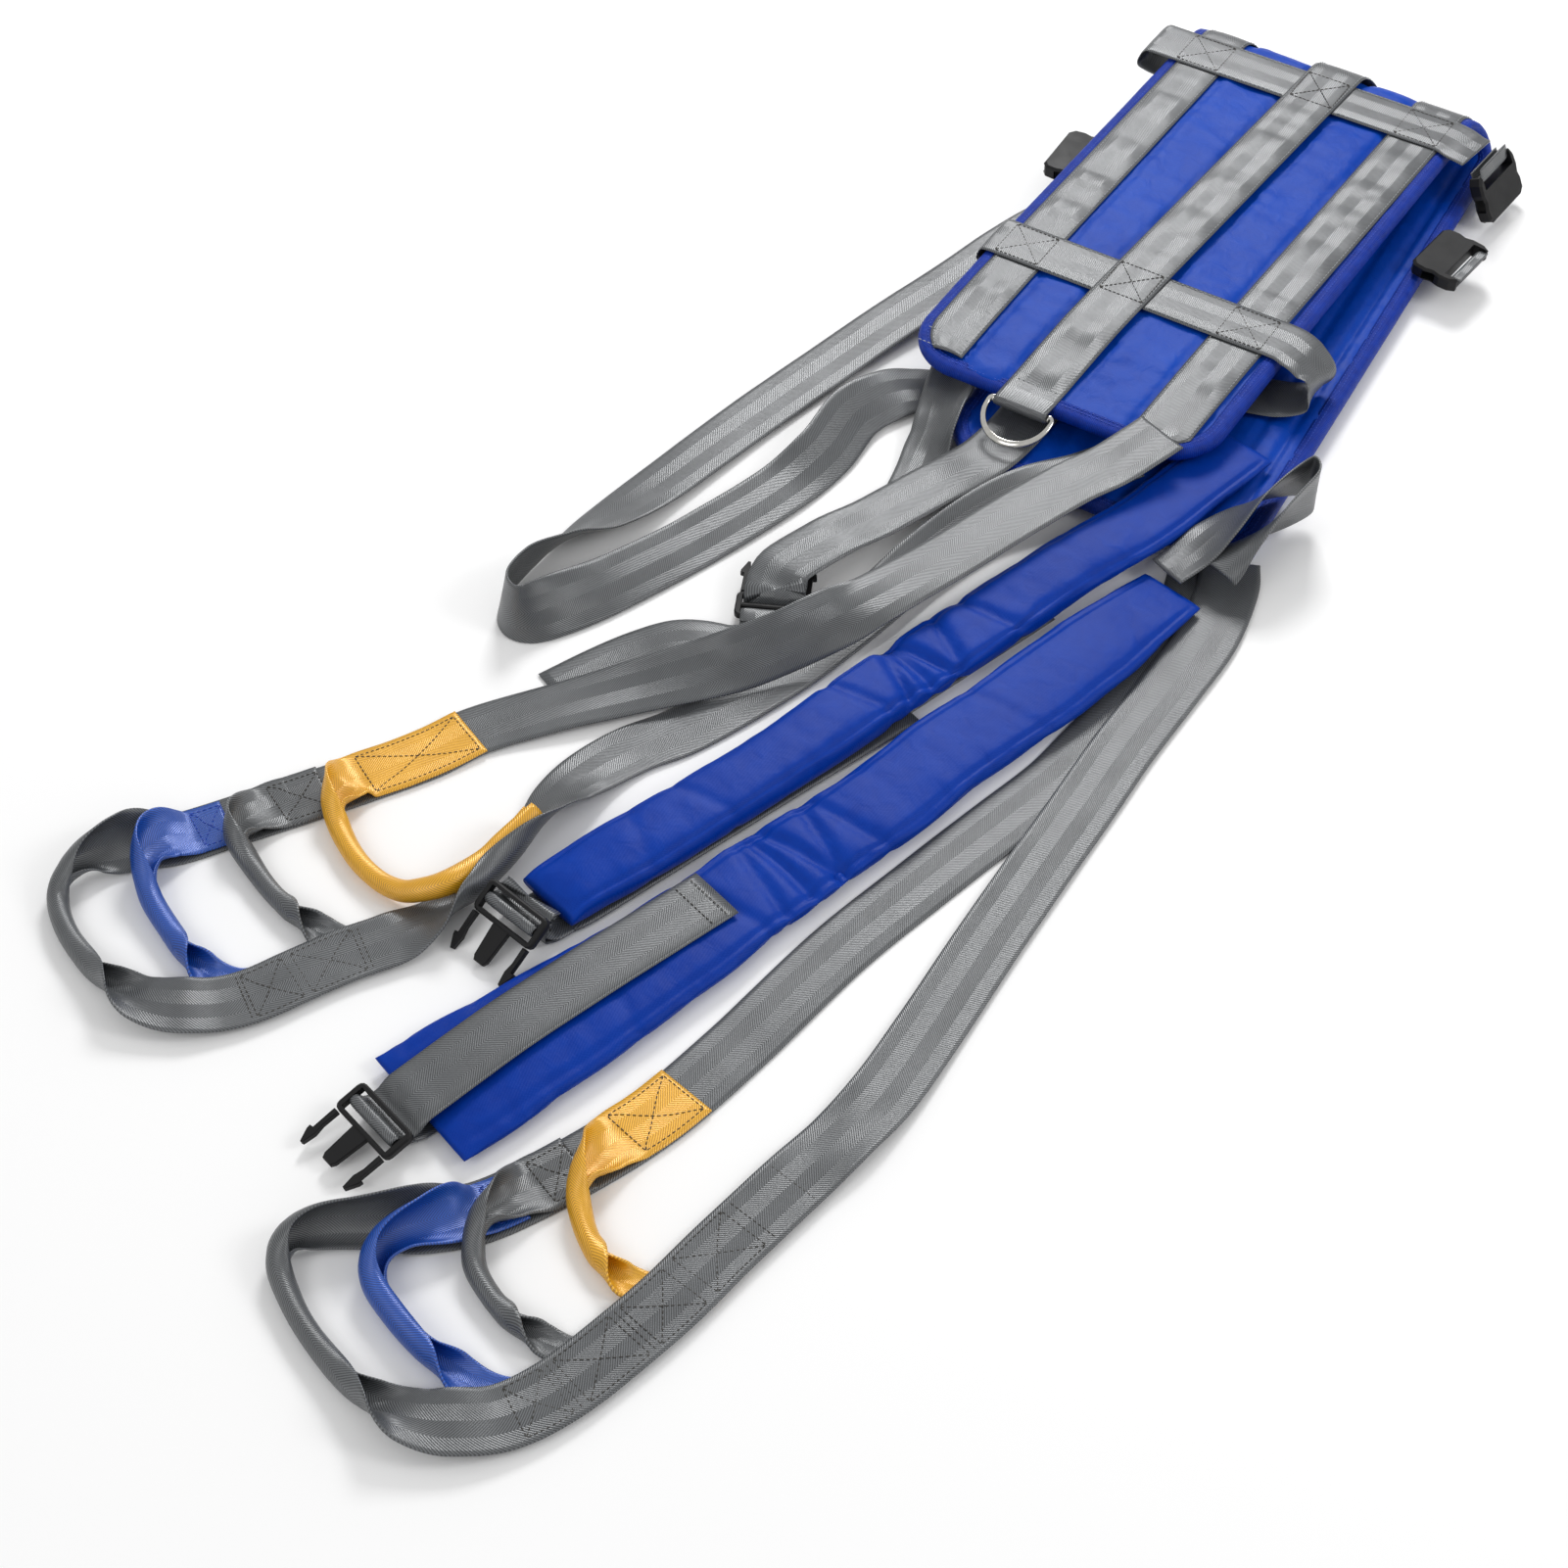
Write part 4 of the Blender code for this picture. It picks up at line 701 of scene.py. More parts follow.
def half_width(s, half=PANEL_HALF):
    """Half of the belt's width, which rounds off at its two ends."""
    d = np.minimum(np.minimum(s, PANEL_LEN - np.asarray(s, float)), CORNER)
    return half - CORNER + np.sqrt(np.maximum(CORNER**2 - (CORNER - np.maximum(d, 0)) ** 2, 0))


LAYER = [PANEL_T / 2 + GAP + WEB_T / 2 + k * (WEB_T + GAP) for k in range(4)]
LEFT_U, CROSS_S = -0.1145, tuple(y - TOP_END_Y for y in CROSS_Y)


def left_u(s):
    """Middle of the left webbing: straight."""
    return np.full(np.shape(s), LEFT_U)


def right_u(s):
    """Middle of the right webbing: it leans in by 10 mm towards the open end."""
    return 0.110 - 0.010 * np.maximum(0, 1 - np.asarray(s, float) / TOP_LEN)


def middle_u(s):
    """Middle of the middle webbing: it leans to the left by 22 mm towards the open end."""
    return 0.005 - 0.022 * np.maximum(0, 1 - np.asarray(s, float) / TOP_LEN)


def near_cross(s, reach=0.034):
    """1 well away from the crosswise webbings and 0 on them."""
    d = np.min([abs(np.asarray(s, float) - c) for c in CROSS_S], axis=0)
    return np.clip((d - reach) / 0.02, 0, 1)


# %% [markdown]
# ### The padded body
# The foam pushes the cloth out, and every seam pulls it in. On the outer face the seams are the edges of the
# three lengthwise webbings. On the inner face they are the quilting lines, 24 mm apart. Small crosswise puckers
# start at each seam, because the thread is shorter than the cloth.


# %% Panel
def seam_pull(u, seams, wide=0.006):
    """0 on a seam and 1 away from it: 1 - exp(-(d / wide)^2) of the distance to the closest one."""
    d = np.min([abs(u - seam) for seam in seams], axis=0)
    return 1 - np.exp(-(d / wide) ** 2), d


def panel():
    """Outer and inner face over a grid (u, s): h = half thickness + bulge * pull + puckers, less at the rim."""
    s = np.concatenate([CORNER * (1 - np.cos(np.linspace(0.05, np.pi / 2, 16))),
                        np.linspace(CORNER, PANEL_LEN - CORNER, 330)[1:-1],
                        PANEL_LEN - CORNER * (1 - np.cos(np.linspace(0.05, np.pi / 2, 16)))[::-1]])
    t = np.sin(np.linspace(-1, 1, 84) * np.pi / 2 * 0.94) / math.sin(np.pi / 2 * 0.94)
    S, T = np.meshgrid(s, t, indexing="ij")
    U = T * half_width(S)
    seams = [LEFT_U + WEB_SEAM, middle_u(S) - WEB_SEAM, middle_u(S) + WEB_SEAM,
             right_u(S) - WEB_SEAM, right_u(S) + WEB_SEAM,
             -half_width(S) + 0.004, half_width(S) - 0.004]
    pull, d = seam_pull(U, seams)
    under = np.max([abs(U - c) < 0.0255 for c in (LEFT_U, middle_u(S), right_u(S))], axis=0)
    pucker = noise2(U, S, 3, 0.020, 0.0085) * np.exp(-d / 0.014) * 0.0015
    broad = noise2(U, S, 5, 0.05, 0.045) * 0.0012 + noise2(U, S, 6, 0.028, 0.014) * 0.0008
    out = PANEL_T / 2 - 0.0028 + 0.0040 * pull + (pucker + broad) * pull**0.5
    out = np.where(under, PANEL_T / 2 - 0.0006, out)
    channel = U / QUILT
    groove = np.exp(-((channel - np.round(channel)) * QUILT / 0.0035) ** 2)
    inner = -PANEL_T / 2 - 0.0002 + 0.0026 * groove - noise2(U, S, 8, 0.016, 0.010) * 0.0006 * (1 - groove)
    rim = np.clip((half_width(S) - abs(U)) / 0.010, 0, 1) ** 0.5
    end = np.clip(np.minimum(S, PANEL_LEN - S) / 0.010, 0, 1) ** 0.5
    rim = np.minimum(rim, end) * 0.35 + 0.65
    rings = np.concatenate([on_panel(U, S, inner * rim), on_panel(U, S, out * rim)[:, ::-1]], axis=1)
    stand_in(skin("trunk_panel_cloth", rings, NYLON_BLUE), "trunk_panel")


panel()


# %% [markdown]
# ### Binding
# The tape wraps the edge like a C: 8 mm over each face and round the rim. It is carried along the belt's
# outline, and it rises and falls a little with the stitches.


# %% Binding
def outline(out):
    """Closed outline at the distance `out` outside the belt's edge, as rows (u, s)."""
    r, w, l = CORNER + out, PANEL_HALF + out, PANEL_LEN
    arcs = [(-PANEL_HALF + CORNER, CORNER, 180), (PANEL_HALF - CORNER, CORNER, 270),
            (PANEL_HALF - CORNER, l - CORNER, 0), (-PANEL_HALF + CORNER, l - CORNER, 90)]
    sides = {1: [(w, s) for s in np.linspace(CORNER, l - CORNER, 300)[1:-1]],
             3: [(-w, s) for s in np.linspace(CORNER, l - CORNER, 300)[1:-1][::-1]],
             0: [(u, -out) for u in np.linspace(-PANEL_HALF + CORNER, PANEL_HALF - CORNER, 50)[1:-1]],
             2: [(u, l + out) for u in np.linspace(-PANEL_HALF + CORNER, PANEL_HALF - CORNER,
                                                   50)[1:-1][::-1]]}
    points = []
    for k, (cu, cs, start) in enumerate(arcs):
        a = np.radians(np.linspace(start, start + 90, 20))
        points += list(zip(cu + r * np.cos(a), cs + r * np.sin(a))) + sides[k]
    return np.array(points)


def tape():
    """C section: (distance outside the edge, height), outer line then inner line."""
    a = np.radians(np.linspace(90, -90, 11))
    outer = [(-0.0085, 0.0064), (-0.004, 0.0066)]
    outer += [(0.0005 + 0.0050 * math.cos(t), 0.0064 * math.sin(t)) for t in a]
    outer += [(-0.004, -0.0066), (-0.0085, -0.0064)]
    inner = [(-0.0085, -0.0052), (0.0005, -0.0052), (0.0040, 0.0), (0.0005, 0.0052), (-0.0085, 0.0052)]
    profile = np.array(outer + inner)
    base = outline(0.0)
    run = run_length(base)
    wavy = 1 + 0.05 * noise(run, 4, 0.004) + 0.05 * noise(run, 5, 0.03)
    rings = np.stack([on_panel(*outline(out).T, h * wavy) for out, h in profile], axis=1)
    across = run_length(np.vstack([profile, profile[:1]]))
    stand_in(skin("edge_binding_tape", rings, BINDING_BLUE, across, run, closed=True), "edge_binding")


tape()


# %% [markdown]
# ### Webbing on the belt
# The lengthwise webbings are sewn down along both edges. The thread draws them up, so they ripple between the
# seams, and those ripples catch the light every 6 or 7 cm. The middle one lies over the crosswise webbings and
# ends in the roll that holds the D-ring.


# %% Sewn webbing
LINE = np.linspace(-1, 1, 15)
EDGE = 0.25 + 0.75 * np.sqrt(1 - np.abs(LINE) ** 8)
FREE = np.clip(1 - (LINE / 0.88) ** 2, 0, 1) ** 0.8


def finish_web(name, node, rings, along):
    """Skin of a webbing from its rings, which run LINE along its lower face and back along its upper one."""
    u = np.concatenate([(LINE + 1) / 2, (LINE[::-1] + 1) / 2, [0.0]]) * WEB
    obj = stand_in(skin(name, rings, WEBBING_GREY, u, along), node)


def ripple_at(s, seed):
    """Height of the puckers along a sewn webbing: peaks about 65 mm apart with finer ones between."""
    wave = np.sin(2 * np.pi * np.asarray(s, float) / 0.065 + 2.2 * noise(s, seed, 0.11))
    return 0.0014 * np.clip(wave + 0.4, 0, 2) + 0.0004 * noise(s, seed + 1, 0.012)


def sewn(node, place, layer, s0, s1, seed, roll=None):
    """Webbing sewn to the belt: h = layer(s) + ripple * FREE over (u, s), led in by the points of `roll`."""
    s = np.linspace(s0, s1, int((s1 - s0) / 0.0028))
    edge = half_width(s) - 0.0060
    u0 = np.maximum(place(s) - WEB / 2, -edge)
    u1 = np.minimum(place(s) + WEB / 2, edge)
    mid, half = (u0 + u1) / 2, (u1 - u0) / 2
    rise = ripple_at(s, seed)[:, None] * FREE * (near_cross(s)[:, None] * 0.9 + 0.1)
    rise = rise * np.where(s > TOP_LEN + ARC_LEN * 0.8, 0.0, 1.0)[:, None]
    U = mid[:, None] + half[:, None] * LINE
    H = layer(s)[:, None] + np.maximum(rise, 0)
    S = np.broadcast_to(s[:, None], U.shape)
    t = WEB_T / 2 * EDGE
    rings = np.concatenate([on_panel(U, S, H - t), on_panel(U, S, H + t)[:, ::-1]], axis=1)
    along = s - s0
    if roll is not None:
        x = float(place(s0) + skew(s0))
        y, z = np.array(roll).T
        d = unit(np.gradient(np.column_stack([y, z]), axis=0))
        low, top = (np.array([np.stack([x + LINE * WEB / 2, yi + dz * h, zi - dy * h], axis=1)
                              for yi, zi, (dy, dz) in zip(y, z, d)]) for h in (t, -t))
        extra = np.concatenate([low, top[:, ::-1]], axis=1)
        rings = np.concatenate([extra, rings])
        ahead = np.arange(-len(extra), 0) * 0.0012
        along = np.concatenate([ahead, along]) - ahead[0]
    finish_web(node + "_web", node, rings, along)


def flat_layer(s):
    """Height of a webbing that lies on the cloth."""
    return np.full(np.shape(s), LAYER[0])


def middle_layer(s):
    """Height of the middle webbing, which climbs over the crosswise ones."""
    return np.where(s > 0.10, LAYER[2], LAYER[0] + (LAYER[2] - LAYER[0]) * np.clip(s - 0.02, 0, 1) / 0.08)


RING_ROLL = [(RING_Y + 0.0044 * math.sin(a), RING_Z + 0.0044 * math.cos(a))
             for a in np.radians(np.linspace(-215, -12, 24))]
sewn("webbing_long_left", left_u, flat_layer, 0.010, PANEL_LEN - 0.010, 31)
sewn("webbing_long_right", right_u, flat_layer, 0.010, PANEL_LEN - 0.010, 33)
sewn("webbing_long_middle", middle_u, middle_layer, 0.001, PANEL_LEN - 0.010, 35, roll=RING_ROLL)


def web(name, node, points, sides, count=8, rise=None):
    """Webbing through middle points with a given sideways direction at each; rings LINE across."""
    rows = np.column_stack([points, sides])
    at = np.linspace(0, len(rows) - 1, (len(rows) - 1) * count + 1)
    fine = course(rows, at)
    mid, side = fine[:, :3], fine[:, 3:]
    d = unit(np.gradient(mid, axis=0))
    side = unit(side - d * np.sum(side * d, axis=1)[:, None])
    n = np.cross(d, side)
    along = run_length(mid)
    lift = 0 if rise is None else rise(along)[:, None, None] * FREE[None, :, None]
    bed = mid[:, None] + side[:, None] * (LINE * WEB / 2)[None, :, None] + n[:, None] * lift
    thick = n[:, None] * (WEB_T / 2 * EDGE)[None, :, None]
    finish_web(name, node, np.concatenate([bed - thick, (bed + thick)[:, ::-1]], axis=1), along)


def cross_web(node, y, left, right, seed):
    """Crosswise webbing: over the side webbings, under the middle one, with its handle loops at the ends."""
    z = TOP_Z + LAYER[1]
    rows = left + [(x, y, z) for x in np.linspace(-0.150, 0.122, 9)] + right
    sides = np.tile((0.0, 1.0, 0.0), (len(rows), 1))
    web(node + "_web", node, np.array(rows), sides,
        rise=lambda along: 0.0004 * (1 + noise(along, seed, 0.02)) * 0.5)


UNDER = TOP_Z - PANEL_T / 2 - 0.0035
ON_TOP = TOP_Z + LAYER[1]
cross_web("webbing_cross_upper", CROSS_Y[0],
          [(-0.115, 0.958, UNDER - 0.001), (-0.160, 0.960, UNDER - 0.003), (-0.182, 0.962, 0.037),
           (-0.186, 0.963, 0.046), (-0.176, 0.963, ON_TOP)],
          [(0.140, 0.957, ON_TOP), (0.153, 0.955, ON_TOP - 0.001)], 41)
cross_web("webbing_cross_lower", CROSS_Y[1],
          [(-0.100, 0.617, UNDER), (-0.150, 0.617, UNDER), (-0.164, 0.617, UNDER + 0.003),
           (-0.168, 0.617, 0.046), (-0.163, 0.617, ON_TOP - 0.001)],
          [(0.140, 0.612, ON_TOP - 0.001), (0.158, 0.606, 0.049), (0.163, 0.600, 0.040),
           (0.158, 0.594, 0.029), (0.135, 0.585, 0.0235), (0.105, 0.577, 0.0225)], 43)

# %% [markdown]
# ## Leg straps
# Each leg strap is a flat sleeve of nylon with foam inside. Its section is a superellipse, and the sleeve is
# gathered into crosswise folds where it bends. A light inflation, simulated as cloth, then rounds it between its
# seams.

# %% Leg pads
PAD_UPPER = lengths(
    (138, 510, 20, 58, 12), (124, 450, 20, 62, 13), (107, 375, 20, 64, 14), (82, 310, 15, 64, 18),
    (62, 250, 8, 64, 22), (45, 195, 6, 64, 22), (32, 155, 5.5, 62, 19), (20, 115, 5.5, 62, 24),
    (3, 45, 5.5, 62, 27), (-22, -40, 5.5, 62, 27), (-47, -115, 5.5, 62, 27), (-71, -178, 5.5, 60, 24),
    (-78, -201, 7, 58, 18))
PAD_LOWER = lengths(
    (160, 336, 6, 58, 10), (150, 290, 6, 66, 15), (138, 235, 6, 78, 18), (119, 160, 5.5, 80, 18),
    (97, 85, 5, 80, 18), (79, 5, 5, 80, 18), (61, -50, 5, 82, 17), (43, -110, 5, 88, 15),
    (19, -200, 4.5, 96, 17), (-12, -295, 4.5, 106, 16), (-40, -375, 4.5, 112, 13), (-49, -400, 6, 112, 9))


def inflate(obj, pressure=2.0, most=0.003, frames=20):
    """Rounds a closed mesh: cloth with pressure for some frames, each point kept within `most` metres."""
    before = np.empty(len(obj.data.vertices) * 3, np.float32)
    obj.data.vertices.foreach_get("co", before)
    cloth = obj.modifiers.new("cloth", "CLOTH")
    cloth.settings.effector_weights.gravity = 0
    cloth.settings.use_pressure = True
    cloth.settings.uniform_pressure_force = pressure
    cloth.settings.shrink_min = -0.02
    cloth.settings.quality = 5
    cloth.point_cache.frame_end = frames
    for frame_number in range(1, frames + 1):
        scene.frame_set(frame_number)
    after = np.empty_like(before)
    seen = obj.evaluated_get(bpy.context.evaluated_depsgraph_get())
    seen.data.vertices.foreach_get("co", after)
    obj.modifiers.remove(cloth)
    scene.frame_set(1)
    move = (after - before).reshape(-1, 3)
    size = np.linalg.norm(move, axis=1)
    move *= (np.minimum(size, most) / np.maximum(size, 1e-9))[:, None]
    obj.data.vertices.foreach_set("co", (before.reshape(-1, 3) + move).astype(np.float32).ravel())
    obj.data.update()
    print(obj.name, "moved by up to", round(float(size.max()) * 1000, 1), "mm, kept under", most * 1000)


def leg_pad(node, rows, seed, folds):
    """Sleeve along the rows: x = w/2 * sgn(cos a)|cos a|^0.55, z = t/2 * sgn(sin a)|sin a|^0.62. `folds` lists
    places along it, in metres, with the depth and the slant of each gathered fold."""
    count = 64
    at, along = even_places([(r[0], r[1], r[2]) for r in rows], 0.0035)
    line = course(rows, at)
    mid = line[:, :2]
    t = unit(np.gradient(mid, axis=0))
    left = np.column_stack([-t[:, 1], t[:, 0]])
    a = np.arange(count) * 2 * np.pi / count
    c, s = np.sign(np.cos(a)) * abs(np.cos(a)) ** 0.55, np.sign(np.sin(a)) * abs(np.sin(a)) ** 0.62
    end = np.minimum(along, along[-1] - along)
    hem = np.clip(end / 0.012, 0, 1) ** 0.5 * 0.35 + 0.65
    wide = line[:, 3] / 2 * (1 + 0.02 * noise(along, seed, 0.04))
    tall = (line[:, 4] / 2 - 0.0024) * hem
    A, C = np.meshgrid(along, c, indexing="ij")
    gather = sum(depth * np.exp(-((A - place + 0.010 * C * lean) / 0.0055) ** 2) for place, depth,
                 lean in folds)
    wrinkle = noise2(A, C * 0.03, seed + 2, 0.012, 0.018) * 0.0005 + noise2(A, C * 0.03, seed + 3, 0.045,
                                                                            0.03) * 0.0009
    seam = 0.0022 * np.exp(-((abs(C) - 0.80) / 0.05) ** 2)
    up = s[None] * (tall[:, None] + (wrinkle - gather - seam) * np.clip(end / 0.02, 0, 1)[:, None])
    x = mid[:, None, 0] + left[:, None, 0] * C * wide[:, None]
    y = mid[:, None, 1] + left[:, None, 1] * C * wide[:, None]
    z = line[:, 2, None] + line[:, 4, None] / 2 + np.where(up < 0, up * 0.98, up) - 0.0012
    obj = skin(node + "_cloth", np.stack([x, y, z], axis=-1), NYLON_NAVY)
    inflate(obj)
    stand_in(obj, node)


leg_pad("leg_pad_upper", PAD_UPPER, 51,
        [(0.30, 0.003, 1), (0.345, 0.0035, -1), (0.37, 0.005, 1), (0.385, 0.006, 0),
                                         (0.40, 0.0045, -1), (0.44, 0.003, 1), (0.60, 0.0015, 1), (0.66,
                                                                                                   0.001, -1)])
leg_pad("leg_pad_lower", PAD_LOWER, 55,
        [(0.20, 0.001, 1), (0.37, 0.003, 1), (0.395, 0.004, -1), (0.415, 0.005, 1),
                                         (0.435, 0.0045, 0), (0.455, 0.003, -1), (0.49, 0.002, 1), (0.60,
                                                                                                    0.001, -1)])

# %% [markdown]
# ## Hardware
# Every buckle has its own place and direction. Its webbing goes round its bar, so those runs start in the
# buckle's own directions and end in the layout.


# %% Buckle straps
def frame_at(pos, toward, pitch=0.0):
    """Matrix of a buckle at its webbing bar: +Y along `toward` on the floor, tipped up by `pitch` degrees."""
    yaw = math.atan2(-toward[0], toward[1])
    return Matrix.Translation(pos) @ Matrix.Rotation(yaw, 4, "Z") @ Matrix.Rotation(math.radians(pitch), 4,
                                                                                    "X")


WRAP_R = BAR_R + 0.0016
PLUG_1 = frame_at((-0.0866, -0.2366, 0.0296), (-0.20, -0.980), -35)
PLUG_2 = frame_at((-0.065, -0.4320, 0.0185), (-0.30, -0.954), -14)
PLUG_3 = frame_at((-0.104, 0.150, 0.0105), (-0.42, 0.907), 3)
SOCKET_1 = frame_at((0.1690, 0.954, 0.0470), (0.28, -0.02), -62)
SOCKET_2 = frame_at((0.2030, 0.832, 0.0262), (-1.0, 0.10), 3)
SOCKET_3 = frame_at((-0.1490, 0.787, 0.0300), (-1.0, -0.05), 0)


def around(r, a0, a1, count):
    """Points (y, z) on the circle of radius r round the bar, between two angles in degrees."""
    a = np.radians(np.linspace(a0, a1, count))
    return list(zip(r * np.cos(a), r * np.sin(a)))


def carried(turn, path):
    """Layout points of a path (y, z) in a buckle's own directions."""
    return [tuple(turn @ Vector((0, y, z))) for y, z in path]


def level_sides(points):
    """Sideways direction of each point of a run: level, and square to its course."""
    return unit(np.cross(np.gradient(np.asarray(points, float), axis=0), (0, 0, 1.0)))


def plug_web(node, turn, tail, run):
    """Tail on the pad, round the plug's bar and back as the run below the pad."""
    head = ([(-0.0165, -0.0092), (-0.0115, -0.0084), (-0.0066, -0.0050)] + around(WRAP_R, 165, -75, 11)
            + [(-0.0030, -0.0100), (-0.0090, -0.0128)])
    points = np.array(list(tail[::-1]) + carried(turn, head) + list(run))
    across = np.array(turn.to_quaternion() @ Vector((1, 0, 0)))
    sides = level_sides(points)
    sides *= np.sign(sides @ across)[:, None]
    sides[len(tail) - 1:len(tail) + len(head) + 1] = across
    web(node + "_web", node, points, sides, count=5)


plug_web("strap_leg_upper", PLUG_1,
         lengths(
        (-84, -220, 24), (-82, -217.5, 12), (-78.5, -211, 4.8), (-74, -198, 3.8), (-66, -180, 3.8),
        (-36, -90, 3.8), (4, 30, 3.8), (34, 118, 3.8)),
         lengths(
        (-86.5, -226.5, 10), (-84, -219, 3.6), (-76, -198, 1.4), (-42, -90, 1.4), (-2, 40, 1.4),
        (30, 150, 1.4), (56, 235, 1.4), (68, 275, 1.4)))
plug_web("strap_leg_lower", PLUG_2,
         lengths(
        (-56, -403, 20), (-51, -385, 21), (-44, -360, 22.5), (-30, -310, 24), (-8, -240, 24),
        (10, -185, 23.5), (26, -135, 22.5)),
         lengths(
        (-61, -417, 6), (-56, -403, 2.4), (-44, -360, 1.4), (-20, -280, 1.4), (30, -130, 1.4),
        (72, 20, 1.4), (106, 140, 1.4), (124, 225, 1.4), (128, 262, 1.4)))


def chest_web():
    """From under the D-ring, through plug 3 and on to its free end."""
    through = [(0.0165, 0.0080), (0.0125, 0.0072), (0.0078, 0.0048), (0.0052, 0.0005), (0.0034, -0.0032),
               (0.0, -0.0048), (-0.0034, -0.0032), (-0.0052, 0.0005), (-0.0078, 0.0048), (-0.0125, 0.0072)]
    before = [(-0.038, 0.470, 0.0215), (-0.038, 0.425, 0.0222), (-0.044, 0.385, 0.0215),
              (-0.062, 0.345, 0.0170),
              (-0.083, 0.285, 0.0180), (-0.100, 0.230, 0.0260), (-0.1140, 0.186, 0.0250)]
    after = [(-0.0920, 0.1230, 0.0150), (-0.0960, 0.1060, 0.0110), (-0.1110, 0.0930, 0.0105),
             (-0.132, 0.086, 0.0105), (-0.152, 0.076, 0.0085), (-0.170, 0.056, 0.0045), (-0.186, 0.028,
                                                                                         0.0025),
             (-0.205, -0.015, 0.0015)]
    points = np.array(before + carried(PLUG_3, through) + after)
    across = np.array(PLUG_3.to_quaternion() @ Vector((1, 0, 0)))
    sides = level_sides(points)
    sides[:len(before)] *= np.sign(sides[:len(before)] @ across)[:, None]
    sides[len(before):-len(after)] = across
    sides[-len(after):] *= np.sign(sides[-len(after)] @ across)
    web("strap_chest_web", "strap_chest", points, sides, count=6)


chest_web()


def tab_web(node, turn, upper, lower):
    """Short loop of webbing that holds a receptacle by its bar."""
    points = np.array(carried(turn, upper + around(WRAP_R, 100, -100, 11) + lower))
    across = np.array(turn.to_quaternion() @ Vector((1, 0, 0)))
    web(node + "_web", node, points, np.tile(across, (len(points), 1)), count=4)


tab_web("tab_right_upper", SOCKET_1, [(-0.0105, 0.0056), (-0.0040, 0.0047)],
        [(-0.0040, -0.0047), (-0.0080, -0.0050)])
tab_web("tab_right_lower", SOCKET_2, [(-0.0060, 0.0046)], [(-0.0030, -0.0046)])
tab_web("tab_left", SOCKET_3, [(-0.0300, 0.0041), (-0.0150, 0.0041)],
        [(-0.0150, -0.0041), (-0.0300, -0.0041)])

# %% [markdown]
# ### Buckles and D-ring
# The buckles keep their measured bodies and take the moulded finish. The D-ring is one bent
# wire: a straight bar, two tight corners and a half round bow.

# %% Metal and plastic
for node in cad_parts:
    name = node if isinstance(node, str) else node["name"]
    if name.startswith(("plug_", "receptacle_")):
        obj = bpy.data.objects[name]
        obj.data.materials.clear()
        obj.data.materials.append(ACETAL)


def d_ring():
    """Circle of RING_WIRE carried round a closed line: bar, corner, bow of radius RING_R, corner."""
    line = [(x, 0.0) for x in np.linspace(-0.026, 0.026, 16)]
    line += [(0.026 + 0.0040 * math.sin(a),
              -0.0040 + 0.0040 * math.cos(a)) for a in np.radians(np.linspace(12, 90, 7))]
    line += [(RING_R * math.cos(a), -0.006 - 0.030 * math.sin(a)) for a in np.linspace(0, math.pi, 60)]
    line += [(-0.026 - 0.0040 * math.sin(a),
              -0.0040 + 0.0040 * math.cos(a)) for a in np.radians(np.linspace(90, 12, 7))]
    line = np.array(line)
    t = unit(np.roll(line, -1, 0) - np.roll(line, 1, 0))
    tip = math.radians(20)
    a = np.arange(20) * np.pi / 10
    px = line[:, :1] + t[:, 1:] * RING_WIRE * np.cos(a)
    py = line[:, 1:] - t[:, :1] * RING_WIRE * np.cos(a)
    pz = np.broadcast_to(RING_WIRE * np.sin(a), px.shape)
    rings = np.stack([RING_X + px, RING_Y + py * math.cos(tip) + pz * math.sin(tip),
                      RING_Z + py * math.sin(tip) + pz * math.cos(tip)], axis=-1)
    stand_in(skin("d_ring_wire", rings, NICKEL, closed=True), "d_ring", "ring")


d_ring()

# %% [markdown]
# ## Stitches
# Every seam is a row of small grains of thread, 3 mm long, that sit in the webbing with their ends pulled down.
# A seam is a line over a strap or over the belt. Each grain is a spindle with six sides, laid from one place of
# the line to the next, and all the grains of one thread are one mesh.


# %% Stitches
STITCH_LIFT, EDGE_SEAM = 0.0003, 0.0225
GRAIN = np.array([(0.0, 0.0), (0.22, 1.0), (0.78, 1.0), (1.0, 0.0)])


def grains(line, ups, pitch, radius):
    """Vertices and faces of the grains along a line (N, 3) with its upward directions (N, 3)."""
    run = run_length(line)
    count = max(int(run[-1] / pitch), 1)
    a = (np.arange(count) + 0.12) * run[-1] / count
    b = a + 0.76 * run[-1] / count
    pick = lambda at, what: np.stack([np.interp(at, run, what[:, k]) for k in range(3)], axis=1)
    start, stop, up = pick(a, line), pick(b, line), pick((a + b) / 2, ups)
    side = unit(np.cross(unit(stop - start), up))
    turn = (np.arange(6) * np.pi / 3)[None, :, None]
    verts = []
    for share, fat in GRAIN:
        centre = start + (stop - start) * share - up * (radius * (0.9 - 0.9 * fat))[..., None]
        ring = side[:, None] * np.cos(turn) + up[:, None] * np.sin(turn) * 0.8
        verts.append(centre[:, None] + radius * max(fat, 0.35) * ring)
    verts = np.stack(verts, axis=1).reshape(count, -1, 3)
    quads = [(k * 6 + j, k * 6 + (j + 1) % 6, k * 6 + 6 + (j + 1) % 6,
              k * 6 + 6 + j) for k in range(3) for j in range(6)]
    return verts, quads


THREADS = {}


def seam(line, ups, thread, pitch=0.0042, radius=0.00042):
    """Adds a line of stitches to a thread."""
    THREADS.setdefault(thread,
                       []).append(grains(np.asarray(line, float), np.asarray(ups, float), pitch, radius))


